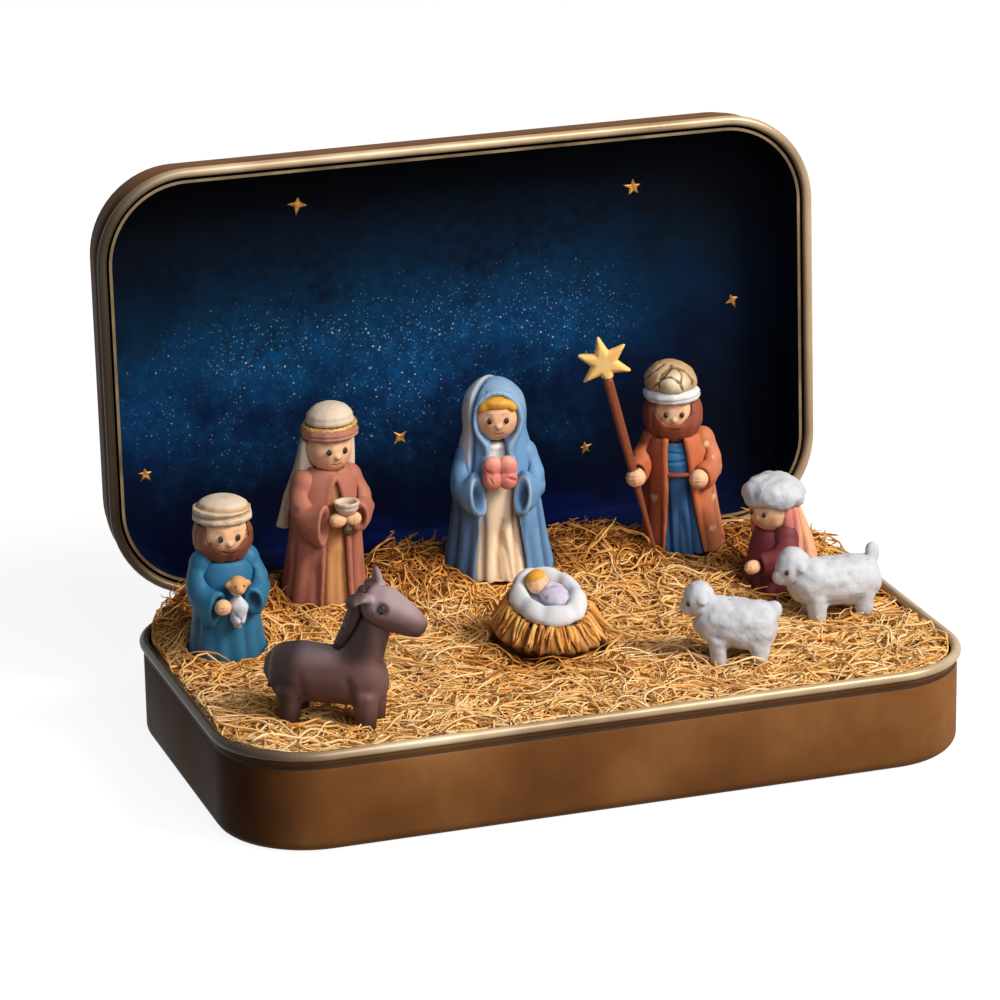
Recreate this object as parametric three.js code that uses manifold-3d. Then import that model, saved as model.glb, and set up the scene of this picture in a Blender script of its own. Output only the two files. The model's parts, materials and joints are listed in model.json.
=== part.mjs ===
// Pocket nativity tin: a hinged pressed-metal tin with a straw bed, a night-sky lid
// and loose clay figures that stand on the straw.
// Millimetres, +Z up, X along the tin, +Y towards the hinge.
// The origin is the middle of the underside.

import * as THREE from 'three';
import { mergeVertices } from 'three/addons/utils/BufferGeometryUtils.js';
import Module from 'manifold-3d';

const wasm = await Module();
wasm.setup();

// Tin: outer size over the rolled rims, then the sheet and its pressed features
const TIN_LENGTH = 100;
const TIN_WIDTH = 58;
const CORNER_RADIUS = 12.5;
const CORNER_STEPS = 3;
const BASE_HEIGHT = 13.4;
const LID_DEPTH = 9.6;
const SHEET = 0.45;
const WALL_INSET = 0.5;
const EDGE_ROUND = 1.6;
const EDGE_STEPS = 2;
const RIM_RADIUS = 0.65;
const RIM_STEPS = 5;
const RIM_SWEEP = [240, -60];
const LINE_BELOW_RIM = 2.1;
const LINE_HALF = 0.4;
const LINE_DEPTH = 0.3;
const LID_STEP_HEIGHT = 3.4;
const LID_STEP_RISE = 0.6;
const LID_STEP_INSET = 0.4;
const LID_LINE_BELOW_RIM = 2.5;
const LID_LINE_HALF = 0.8;
const LID_LINE_DEPTH = 0.4;

// Hinge: two rolled-knuckle hinges on the rear wall, each on a wire pin
const HINGE_OUT = 0.9;
const HINGE_Y = TIN_WIDTH / 2 + HINGE_OUT;
const HINGE_Z = BASE_HEIGHT - 0.2;
const LID_RIM_ABOVE_AXIS = 0.4;
const LID_OPEN_DEGREES = 92;
const HINGE_SPREAD = 30;
const KNUCKLE_RADIUS = 0.75;
const KNUCKLE_BORE = 0.48;
const KNUCKLE_LENGTH = 3.8;
const KNUCKLE_GAP = 0.3;
const LEAF_NEAR = 0.4;
const LEAF_FAR = 1.5;
const LEAF_TOP = 0.45;
const LEAF_DROP = 3.9;
const PIN_RADIUS = 0.4;
const PIN_HEAD_RADIUS = 0.66;
const PIN_HEAD_LENGTH = 0.5;
const HINGE_SIDES = 10;

// Sky liner: card tray that lines the lid
const LINER_INSET = 1.65;
const LINER_THICKNESS = 0.4;
const LINER_FLOOR = 0.75;
const LINER_EDGE_ROUND = 1.4;
const LINER_TOP = 8.9;

// Straw: level at the front, rise towards the back, heaps and tufts
const STRAW_INSET = 1.65;
const STRAW_FLOOR = SHEET + 0.3;
const STRAW_LEVEL = 12.2;
const STRAW_RISE = 3.3;
const STRAW_RISE_FROM = 6;
const STRAW_RISE_OVER = 16;
const STRAW_TUFT = 0.3;
const STRAW_EDGE = 6;
const STRAW_REAR_SHARE = 0.55;
const STRAW_POINTS = 44;
const STRAW_RINGS = [1, 0.92, 0.75, 0.56, 0.36, 0.17];
const STRAW_HEAPS = [[-11, 25, 2.2, 8], [15, 25, 1.9, 7], [-38, 24, 1.2, 7], [26, 6, 1.3, 5]];
const PRESS_TOP = 34;
const SMALL_FOOT = 2;
const LEG_SIDES = 6;

// Fit between touching pieces and between seated figures and the straw
const SEAT_GAP = 0.25;
const WELD = 1e-4;
const CUT_TOLERANCE = 0.06;
const RIGHT = 1;
const LEFT = -1;

// Where each figure stands on the straw, and its turn about Z in degrees from facing the front
const SHEPHERD_PLACE = [-40.1, 10.9, 12.6];
const BEARER_PLACE = [-24.2, 20.8, 15.1];
const BEARER_TURN = 6;
const BEARER_LEAN = 0.065;
const MOTHER_PLACE = [0.3, 21, 15.6];
const MOTHER_TURN = -13;
const KING_PLACE = [27.1, 21.6, 15.6];
const KING_TURN = -18;
const KING_LEAN = -0.07;
const KNEELER_PLACE = [34.9, 8.2, 13];
const KNEELER_TURN = -62;
const MANGER_PLACE = [-0.4, -1.6, 12.4];
const MANGER_TURN = -55;
const TIP_ALONG = [0.59, -0.81];
const TIP_SLOPE = 0.05;
const TIP_HEIGHT = 0.92;
const FRONT_SHEEP_PLACE = [21.2, -14, 12.3];
const FRONT_SHEEP_TURN = 158;
const BACK_SHEEP_PLACE = [39.3, -2.9, 12.3];
const BACK_SHEEP_TURN = 180;
const DONKEY_PLACE = [-33.7, -16.5, 12.2];
const DONKEY_TURN = -36;

// Clay and metal finishes
const CLAY_ROUGHNESS = 0.55;
const METAL_ROUGHNESS = 0.42;
const BRONZE = '#7a5638';
const STEEL = '#b9a58a';
const SKY = '#0a2348';
const STRAW_GOLD = '#d9a250';
const SKIN = '#eec3a0';
const CREAM = '#ead9b8';
const WHITE = '#efebe4';
const ROBE_BLUE = '#2f7fa8';
const HAIR_BROWN = '#7a4630';
const COAT_MAUVE = '#a9706a';
const GOWN_OCHRE = '#c89a66';
const MANTLE_BLUE = '#4a78b0';
const DRESS_CREAM = '#e8c9a0';
const HAIR_GOLD = '#e0a83c';
const HAND_ROSE = '#d86a60';
const COAT_RUST = '#a0522d';
const BEARD_RUST = '#8a4a38';
const TUNIC_NAVY = '#1f3f60';
const TURBAN_GOLD = '#b8985a';
const STAFF_BROWN = '#7a3f28';
const STAR_GOLD = '#f0c070';
const ROBE_WINE = '#6a2f3a';
const SCARF_ROSE = '#c06a70';
const SWADDLE_BLUE = '#7486c0';
const DONKEY_BROWN = '#6a5050';
const MANE_BROWN = '#33201c';

const radians = THREE.MathUtils.degToRad;

// Leaves only the welded points of a geometry, so that it is one closed skin.
function bare(geometry) {
  geometry.deleteAttribute('normal');
  geometry.deleteAttribute('uv');
  return mergeVertices(geometry, WELD);
}

function solid(geometry) {
  return new wasm.Manifold(new wasm.Mesh({
    numProp: 3,
    vertProperties: new Float32Array(geometry.attributes.position.array),
    triVerts: new Uint32Array(geometry.index.array),
  }));
}

// The largest body that is left of a cut piece; crumbs fall away.
function skinOf(body) {
  const bodies = body.simplify(CUT_TOLERANCE).decompose().sort((a, b) => b.volume() - a.volume());
  const { vertProperties, triVerts } = bodies[0].getMesh();
  const geometry = new THREE.BufferGeometry();
  geometry.setAttribute('position', new THREE.BufferAttribute(vertProperties, 3));
  geometry.setIndex(new THREE.BufferAttribute(triVerts, 1));
  return geometry;
}

function join(...parts) {
  return skinOf(parts.map(solid).reduce((whole, part) => whole.add(part)));
}

function cut(piece, ...tools) {
  return skinOf(tools.map(solid).reduce((whole, tool) => whole.subtract(tool), solid(piece)));
}

function common(piece, tool) {
  return skinOf(solid(piece).intersect(solid(tool)));
}

// A copy of a skin moved out along its normals by the fit gap.
function grown(geometry) {
  const copy = geometry.clone();
  copy.computeVertexNormals();
  const { position, normal } = copy.attributes;
  for (let i = 0; i < position.count; i++) {
    position.setXYZ(
      i,
      position.getX(i) + SEAT_GAP * normal.getX(i),
      position.getY(i) + SEAT_GAP * normal.getY(i),
      position.getZ(i) + SEAT_GAP * normal.getZ(i),
    );
  }
  copy.deleteAttribute('normal');
  return copy;
}

// A piece pressed against its neighbours: it takes their shape, less the fit gap.
function pressed(piece, ...neighbours) {
  return cut(piece, ...neighbours.map(grown));
}

// A closed skin through rings of equal count, with a fan over each end.
function loft(rings) {
  const count = rings[0].length;
  const points = rings.flat();
  const index = [];
  for (let level = 0; level < rings.length - 1; level++) {
    for (let i = 0; i < count; i++) {
      const next = (i + 1) % count;
      const a = level * count + i;
      const b = level * count + next;
      index.push(a, b, b + count, a, b + count, a + count);
    }
  }
  const last = (rings.length - 1) * count;
  const middle = (ring) => ring.reduce((sum, p) => sum.add(p), new THREE.Vector3())
    .divideScalar(count);
  points.push(middle(rings[0]), middle(rings.at(-1)));
  for (let i = 0; i < count; i++) {
    const next = (i + 1) % count;
    index.push(points.length - 2, next, i);
    index.push(points.length - 1, last + i, last + next);
  }
  const geometry = new THREE.BufferGeometry().setFromPoints(points);
  geometry.setIndex(index);
  return geometry;
}

// An upright form. Each station is [height, half width, half depth, shift in Y].
// The lean moves each ring sideways in proportion to its height.
function upright(stations, sides, swell = () => 1, lean = 0) {
  return loft(stations.map(([height, halfWidth, halfDepth, shiftY = 0]) => {
    const ring = [];
    for (let i = 0; i < sides; i++) {
      const angle = (i / sides) * Math.PI * 2;
      const scale = swell(angle, height);
      const x = lean * height + halfWidth * scale * Math.cos(angle);
      const y = shiftY + halfDepth * scale * Math.sin(angle);
      ring.push(new THREE.Vector3(x, y, height));
    }
    return ring;
  }));
}

// A form along a bent line. Each station is [x, y, z, half width, half height].
function limb(stations, sides, swell = () => 1) {
  const places = stations.map(([x, y, z]) => new THREE.Vector3(x, y, z));
  const up = new THREE.Vector3(0, 0, 1);
  return loft(stations.map(([x, , , halfWidth, halfHeight], k) => {
    const ahead = places[Math.min(k + 1, places.length - 1)];
    const behind = places[Math.max(k - 1, 0)];
    const along = ahead.clone().sub(behind).normalize();
    const across = new THREE.Vector3().crossVectors(along, up).normalize();
    const below = new THREE.Vector3().crossVectors(along, across);
    const ring = [];
    for (let i = 0; i < sides; i++) {
      const angle = (i / sides) * Math.PI * 2;
      const scale = swell(angle, x);
      ring.push(places[k].clone()
        .addScaledVector(across, halfWidth * scale * Math.cos(angle))
        .addScaledVector(below, halfHeight * scale * Math.sin(angle)));
    }
    return ring;
  }));
}

function ball(x, y, z, halfWidth, halfDepth, halfHeight, sides = 10, rows = 6) {
  const geometry = new THREE.SphereGeometry(1, sides, rows).rotateX(Math.PI / 2);
  geometry.scale(halfWidth, halfDepth, halfHeight);
  return bare(geometry.translate(x, y, z));
}

function block(x, y, z, width, depth, height) {
  return bare(new THREE.BoxGeometry(width, depth, height).translate(x, y, z));
}

// A wedge through the front of a garment. Each corner is [half width, height], from the hem up.
function frontOpening(corners, reach, lean = 0) {
  const edge = (side) => corners.map(([half, height]) => {
    return new THREE.Vector2(lean * height + side * half, height);
  });
  const shape = new THREE.Shape([...edge(RIGHT), ...edge(LEFT).reverse()]);
  const prism = new THREE.ExtrudeGeometry(shape, { depth: reach, bevelEnabled: false });
  return bare(prism.rotateX(Math.PI / 2));
}

// Soft vertical folds that fade out towards the neck.
function folds(count, depth, neck, phase = 0) {
  return (angle, height) => 1 + depth * Math.max(0, 1 - height / neck)
    * Math.cos(count * angle + phase);
}

function finish(colour, roughness = CLAY_ROUGHNESS, metalness = 0) {
  return new THREE.MeshStandardMaterial({ color: colour, roughness, metalness });
}

function piece(name, geometry, material) {
  geometry.computeVertexNormals();
  const mesh = new THREE.Mesh(geometry, material);
  mesh.name = name;
  return mesh;
}

// The tin's outline, inset from the rim.
function tinOutline(inset) {
  const reachX = TIN_LENGTH / 2 - CORNER_RADIUS;
  const reachY = TIN_WIDTH / 2 - CORNER_RADIUS;
  const radius = CORNER_RADIUS - inset;
  const outline = new THREE.Path();
  outline.absarc(reachX, reachY, radius, 0, Math.PI / 2);
  outline.absarc(-reachX, reachY, radius, Math.PI / 2, Math.PI);
  outline.absarc(-reachX, -reachY, radius, Math.PI, Math.PI * 1.5);
  outline.absarc(reachX, -reachY, radius, Math.PI * 1.5, Math.PI * 2);
  return outline.closePath();
}

function tinRing([inset, height]) {
  const points = tinOutline(inset).getPoints(CORNER_STEPS);
  points.pop();
  return points.map((p) => new THREE.Vector3(p.x, p.y, height));
}

function arc(inset, height, radius, from, to, steps) {
  return Array.from({ length: steps + 1 }, (_, i) => {
    const angle = radians(from + ((to - from) * i) / steps);
    return [inset + radius * Math.cos(angle), height + radius * Math.sin(angle)];
  });
}

// A pressed tray, open upwards: rounded bottom edge, wall features and a rolled rim.
// The features are [inset from the wall, height] and run along both faces of the sheet.
function pressedTray(depth, foot, features) {
  const outer = features.map(([inset, height]) => [WALL_INSET + inset, height]);
  const inner = features.map(([inset, height]) => [WALL_INSET + SHEET + inset, height]);
  const edge = WALL_INSET + foot + EDGE_ROUND;
  return loft([
    ...arc(edge, EDGE_ROUND, EDGE_ROUND, 270, 180, EDGE_STEPS),
    ...outer,
    ...arc(RIM_RADIUS, depth - RIM_RADIUS, RIM_RADIUS, ...RIM_SWEEP, RIM_STEPS),
    ...inner.reverse(),
    ...arc(edge, EDGE_ROUND, EDGE_ROUND - SHEET, 180, 270, EDGE_STEPS),
  ].map(tinRing));
}

// A pressed line that runs round a wall, sunk into the sheet.
function pressedLine(height, half, depth) {
  return [[0, height - half], [depth, height], [0, height + half]];
}

// Rolled knuckle with its leaf, about the hinge axis; side is where the wall stands in Y.
function knuckle(x, length, side) {
  const shape = new THREE.Shape();
  shape.absarc(0, 0, KNUCKLE_RADIUS, 0, Math.PI * 2);
  shape.holes.push(new THREE.Path().absarc(0, 0, KNUCKLE_BORE, 0, Math.PI * 2));
  const options = { depth: length, bevelEnabled: false, curveSegments: HINGE_SIDES / 2 };
  const roll = new THREE.ExtrudeGeometry(shape, options).rotateY(Math.PI / 2);
  const middle = (side * (LEAF_NEAR + LEAF_FAR)) / 2;
  const leafHeight = LEAF_DROP - LEAF_TOP;
  const leaf = block(x, middle, -LEAF_TOP - leafHeight / 2, length, LEAF_FAR - LEAF_NEAR, leafHeight);
  return join(bare(roll.translate(x - length / 2, 0, 0)), leaf);
}

function hingePin() {
  const reach = KNUCKLE_LENGTH * 1.5 + KNUCKLE_GAP * 2;
  const profile = [
    [0, -reach - PIN_HEAD_LENGTH],
    [PIN_HEAD_RADIUS, -reach - PIN_HEAD_LENGTH],
    [PIN_HEAD_RADIUS, -reach],
    [PIN_RADIUS, -reach],
    [PIN_RADIUS, reach],
    [PIN_HEAD_RADIUS, reach],
    [PIN_HEAD_RADIUS, reach + PIN_HEAD_LENGTH],
    [0, reach + PIN_HEAD_LENGTH],
  ].map(([radius, along]) => new THREE.Vector2(radius, along));
  return bare(new THREE.LatheGeometry(profile, HINGE_SIDES).rotateZ(-Math.PI / 2));
}

// The straw's top surface: nearly level in front, rising to the back, with heaps and tufts.
// The rise and the heaps fall off towards the ends of the tin, and less towards its rear wall.
function strawHeight(x, y) {
  const riseEnd = STRAW_RISE_FROM + STRAW_RISE_OVER;
  const rise = STRAW_RISE * THREE.MathUtils.smoothstep(y, STRAW_RISE_FROM, riseEnd);
  const heaps = STRAW_HEAPS.reduce((sum, [heapX, heapY, height, reach]) => {
    const distance = Math.hypot(x - heapX, y - heapY) / reach;
    return sum + height * Math.exp(-distance * distance);
  }, 0);
  const tufts = STRAW_TUFT * Math.sin(x * 0.61 + y * 0.23) * Math.cos(y * 0.47 - x * 0.17);
  const beyondX = Math.max(Math.abs(x) - TIN_LENGTH / 2 + CORNER_RADIUS, 0);
  const beyondY = Math.max(y - TIN_WIDTH / 2 + CORNER_RADIUS, 0) * STRAW_REAR_SHARE;
  const toWall = CORNER_RADIUS - STRAW_INSET - Math.hypot(beyondX, beyondY);
  const inward = THREE.MathUtils.smoothstep(toWall, -0.5 * STRAW_EDGE, STRAW_EDGE);
  return STRAW_LEVEL + (rise + heaps) * inward + tufts;
}

function strawBed(presses) {
  const outline = tinOutline(STRAW_INSET).getSpacedPoints(STRAW_POINTS).slice(0, STRAW_POINTS);
  const foot = outline.map((p) => new THREE.Vector3(p.x, p.y, STRAW_FLOOR));
  const top = STRAW_RINGS.map((share) => outline.map((p) => {
    const x = p.x * share;
    const y = p.y * share;
    return new THREE.Vector3(x, y, strawHeight(x, y));
  }));
  return cut(loft([foot, ...top]), ...presses);
}

// Groups a figure's pieces where it stands, and notes the hollows that its feet press in the straw.
// Each foot is [x, y, half width, half depth] in the figure's own frame.
const strawPresses = [];

function stand(pieces, place, turn, feet) {
  const group = new THREE.Group();
  group.add(...pieces);
  group.position.set(...place);
  group.rotation.z = radians(turn);
  for (const [x, y, halfWidth, halfDepth] of feet) {
    const reachX = halfWidth + SEAT_GAP;
    const reachY = halfDepth + SEAT_GAP;
    const sides = halfWidth > SMALL_FOOT ? 12 : 6;
    const levels = [-SEAT_GAP, PRESS_TOP - place[2]];
    const hollow = upright(levels.map((level) => [level, reachX, reachY]), sides);
    strawPresses.push(hollow.translate(x, y, 0).rotateZ(radians(turn)).translate(...place));
  }
  return group;
}

// A wide sleeve from shoulder over elbow to a drooping cuff.
function sleeve(side, shoulder, elbow, cuff, droop) {
  const [shoulderX, shoulderY, shoulderZ] = shoulder;
  const [elbowX, elbowY, elbowZ] = elbow;
  const [cuffX, cuffY, cuffZ] = cuff;
  const upperX = (shoulderX + elbowX) / 2 + 0.15;
  const upperY = (shoulderY + elbowY) / 2;
  const upperZ = (shoulderZ + elbowZ) / 2;
  const foreX = (elbowX + cuffX) / 2;
  const foreY = (elbowY + cuffY) / 2;
  const foreZ = (elbowZ + cuffZ) / 2;
  return limb([
    [side * shoulderX * 0.9, shoulderY + 0.2, shoulderZ + 0.9, 0.7, 0.7],
    [side * shoulderX, shoulderY, shoulderZ, 1.5, 1.4],
    [side * upperX, upperY, upperZ, 1.6, 1.6],
    [side * elbowX, elbowY, elbowZ, 1.6, 1.8],
    [side * foreX, foreY, foreZ - droop * 0.3, 1.45, 1.7 + droop * 0.3],
    [side * cuffX, cuffY, cuffZ - droop * 0.4, 1.3, 1.5 + droop * 0.5],
  ], 10);
}

function shepherd() {
  const head = ball(0, -0.3, 16.8, 3.2, 3.1, 3.3);
  const window = ball(0.2, -3.9, 17.6, 2.75, 2.7, 1.95);
  const crown = block(0, 0, 20.3, 9, 9, 4);
  const beard = cut(ball(0, 0.3, 16.3, 3.95, 3.9, 4.1, 11, 7), grown(head), window, crown);
  const coils = (angle, height) => 1 + 0.05 * Math.cos((height - 19) * 5);
  const turban = pressed(upright([
    [18.55, 3.2, 3.1, 0.1], [18.9, 3.7, 3.6, 0.1], [19.4, 3.85, 3.75, 0.1], [19.9, 3.65, 3.55, 0.1],
    [20.2, 3.65, 3.55, 0.1], [20.7, 3.2, 3.1, 0.1], [21.1, 2.6, 2.5, 0.1], [21.5, 1.3, 1.3, 0.1],
  ], 12, coils), head);
  const robe = pressed(upright([
    [0, 5, 4.3], [0.6, 5.2, 4.5], [4, 4.6, 4.1], [8.5, 4, 3.6], [11.6, 4.2, 3.4], [13.2, 3.4, 2.9],
    [14.4, 1.8, 1.7],
  ], 14, folds(5, 0.05, 13, 0.5)), head, beard);
  const arms = [LEFT, RIGHT].map((side) => pressed(
    sleeve(side, [3.4, -0.4, 12.1], [3.9, -2.2, 9.4], [2.4, -4.7, 8.9], side === LEFT ? 2.6 : 1.2),
    robe, beard));
  const lambHead = ball(0.3, -5.3, 11.2, 1.25, 1.2, 1.3, 8, 6);
  const lambBody = limb([[0.2, -5, 5.6, 0.7, 0.6], [0.2, -5.1, 6.4, 1.4, 1], [0.3, -5, 8.4, 1.55, 1.15],
    [0.3, -5, 10.2, 1.1, 0.9], [0.3, -5, 11, 0.6, 0.6]], 8);
  const lamb = pressed(join(lambBody, lambHead), robe, beard, ...arms);
  const hand = pressed(ball(-1.9, -5.9, 8.7, 1.05, 1.1, 0.95, 8, 6), robe, lamb, ...arms);
  return stand([
    piece('shepherd_robe', robe, finish(ROBE_BLUE)),
    piece('shepherd_sleeve_left', arms[0], finish(ROBE_BLUE)),
    piece('shepherd_sleeve_right', arms[1], finish(ROBE_BLUE)),
    piece('shepherd_hand', hand, finish(SKIN)),
    piece('shepherd_head', head, finish(SKIN)),
    piece('shepherd_beard', beard, finish(HAIR_BROWN)),
    piece('shepherd_turban', turban, finish(CREAM)),
    piece('shepherd_lamb', lamb, finish(WHITE)),
  ], SHEPHERD_PLACE, 0, [[0, 0, 5.5, 4.8]]);
}

function giftBearer() {
  const lean = BEARER_LEAN;
  const head = ball(lean * 20.9, -0.4, 20.9, 3.1, 3, 3.3);
  const gown = pressed(upright([
    [0, 3.9, 3.7, -0.7], [0.5, 4, 3.8, -0.7], [6, 3.4, 3.2, -0.6], [12, 2.9, 2.7, -0.5],
    [16, 2.6, 2.3, -0.4], [18.4, 1.6, 1.5, -0.3],
  ], 12, folds(4, 0.04, 17), lean), head);
  const opening = frontOpening([[2.3, -1], [1.5, 12.5], [1.1, 15], [0.2, 17.6]], 9, lean);
  const coat = cut(upright([
    [0, 5.7, 4.8], [0.6, 5.9, 5], [5, 5.3, 4.5], [10, 4.8, 4], [14, 4.6, 3.6], [16.6, 4, 3.1],
    [18.2, 2.6, 2.2],
  ], 15, folds(5, 0.045, 17, 1), lean), opening, grown(gown), grown(head));
  const arms = [LEFT, RIGHT].map((side) => pressed(
    sleeve(side, [3.7, -0.5, 15.5], [4.2, -2.3, 12.6], [2.4, -5, 12.9], side === LEFT ? 3.2 : 1.4)
      .translate(lean * 14, 0, 0),
    coat, gown));
  const veilFront = block(0, -4.6, 18, 16, 9, 24);
  const veil = cut(upright([
    [9.6, 5.6, 2, 3.4], [10.2, 5.7, 2.2, 3.3], [14, 5.1, 2.7, 2.6], [17.5, 4.2, 3.4, 1.3],
    [20, 3.85, 3.7, 0.4], [22, 3.6, 3.5, 0.1],
  ], 12, folds(4, 0.05, 22, 2), lean), veilFront, grown(head), grown(coat), ...arms.map(grown));
  const cap = pressed(upright([
    [24.2, 3, 2.9, -0.2], [24.5, 3.25, 3.15, -0.2], [25.4, 3.05, 2.95, -0.2], [26.3, 2.2, 2.1, -0.2],
    [26.8, 0.9, 0.9, -0.2],
  ], 12, undefined, lean), head);
  const headband = pressed(upright([
    [22.4, 3.2, 3.1, -0.3], [22.7, 3.7, 3.6, -0.3], [23.2, 3.85, 3.75, -0.3], [23.7, 3.65, 3.55, -0.3],
    [23.95, 3.2, 3.1, -0.3],
  ], 12, undefined, lean), head);
  const bowlProfile = [[0, 0], [0.9, 0], [1.5, 0.7], [1.75, 1.7], [1.35, 1.7], [1.05, 0.8], [0, 0.6]]
    .map(([radius, height]) => new THREE.Vector2(radius, height));
  const bowl = pressed(bare(new THREE.LatheGeometry(bowlProfile, 12).rotateX(Math.PI / 2)
    .translate(0.7 + lean * 13, -5.4, 13.1)), coat, gown, ...arms);
  const hands = pressed(join(
    ball(lean * 12 - 0.6, -5.5, 12.4, 1.15, 1, 0.85, 8, 6),
    ball(lean * 12 + 1.5, -5.6, 12.4, 1.15, 1, 0.85, 8, 6),
  ), coat, gown, bowl, ...arms);
  return stand([
    piece('bearer_gown', gown, finish(GOWN_OCHRE)),
    piece('bearer_coat', coat, finish(COAT_MAUVE)),
    piece('bearer_sleeve_left', arms[0], finish(COAT_MAUVE)),
    piece('bearer_sleeve_right', arms[1], finish(COAT_MAUVE)),
    piece('bearer_hands', hands, finish(SKIN)),
    piece('bearer_bowl', bowl, finish(CREAM)),
    piece('bearer_head', head, finish(SKIN)),
    piece('bearer_veil', veil, finish(CREAM)),
    piece('bearer_cap', cap, finish(CREAM)),
    piece('bearer_headband', headband, finish(COAT_MAUVE)),
  ], BEARER_PLACE, BEARER_TURN, [[0, 0, 6.2, 5.3]]);
}

function mother() {
  const head = ball(0, -1.4, 22.3, 2.95, 2.85, 3.1);
  const fringe = block(0, -1.4, 25.9, 8, 8, 4);
  const hair = pressed(common(ball(0, -1.4, 22.4, 3.45, 3.35, 3.6), fringe), head);
  const dress = pressed(upright([
    [0, 4.6, 3.8, -1.2], [0.6, 4.7, 3.9, -1.2], [6, 3.6, 3.3, -1], [12, 2.9, 2.8, -0.9],
    [16, 2.7, 2.5, -0.8], [18.6, 1.7, 1.6, -0.8],
  ], 16, folds(6, 0.055, 16)), head);
  const opening = frontOpening([[3.7, -1], [2.4, 12], [1.6, 17], [0.9, 19.6]], 9);
  const face = ball(0, -4.6, 22.3, 3.25, 4.6, 3.65);
  const mantle = cut(upright([
    [0, 7.2, 4.9], [0.7, 7.4, 5.1], [6, 6.4, 4.7], [12, 5.6, 4.2], [16, 5.1, 3.9], [18.4, 4.5, 3.7],
    [20.2, 3.95, 3.9], [22.6, 4.15, 4.3], [24.8, 3.75, 3.9], [26.3, 2.4, 2.5], [27.1, 0.9, 1],
  ], 18, folds(6, 0.045, 16, 0.4)), opening, face, grown(dress), grown(hair), grown(head));
  const arms = [LEFT, RIGHT].map((side) => pressed(
    sleeve(side, [4.2, -0.9, 15.9], [4.8, -2.8, 12.7], [2.8, -5.1, 14.1], 3.4), mantle, dress));
  const hands = pressed(join(
    ball(-1, -5.4, 16.5, 1.3, 1, 1.4, 8, 6),
    ball(1, -5.4, 16.5, 1.3, 1, 1.4, 8, 6),
    ball(-1, -5.5, 14.8, 1.3, 1.05, 1.4, 8, 6),
    ball(1, -5.5, 14.8, 1.3, 1.05, 1.4, 8, 6),
  ), mantle, dress, ...arms);
  return stand([
    piece('mother_dress', dress, finish(DRESS_CREAM)),
    piece('mother_mantle', mantle, finish(MANTLE_BLUE)),
    piece('mother_sleeve_left', arms[0], finish(MANTLE_BLUE)),
    piece('mother_sleeve_right', arms[1], finish(MANTLE_BLUE)),
    piece('mother_hands', hands, finish(HAND_ROSE)),
    piece('mother_head', head, finish(SKIN)),
    piece('mother_hair', hair, finish(HAIR_GOLD)),
  ], MOTHER_PLACE, MOTHER_TURN, [[0, 0, 7.8, 5.4]]);
}

// A star with pointed rays in the XZ plane.
function star(rays, outer, inner, thickness) {
  const shape = new THREE.Shape(Array.from({ length: rays * 2 }, (_, i) => {
    const angle = (i * Math.PI) / rays + Math.PI / 2;
    const radius = i % 2 === 0 ? outer : inner;
    return new THREE.Vector2(radius * Math.cos(angle), radius * Math.sin(angle));
  }));
  const bevel = thickness / 3;
  const options = {
    depth: bevel,
    bevelThickness: bevel,
    bevelSize: bevel,
    bevelOffset: -bevel,
    bevelSegments: 1,
  };
  return bare(new THREE.ExtrudeGeometry(shape, options).rotateX(Math.PI / 2).translate(0, bevel / 2, 0));
}

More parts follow.
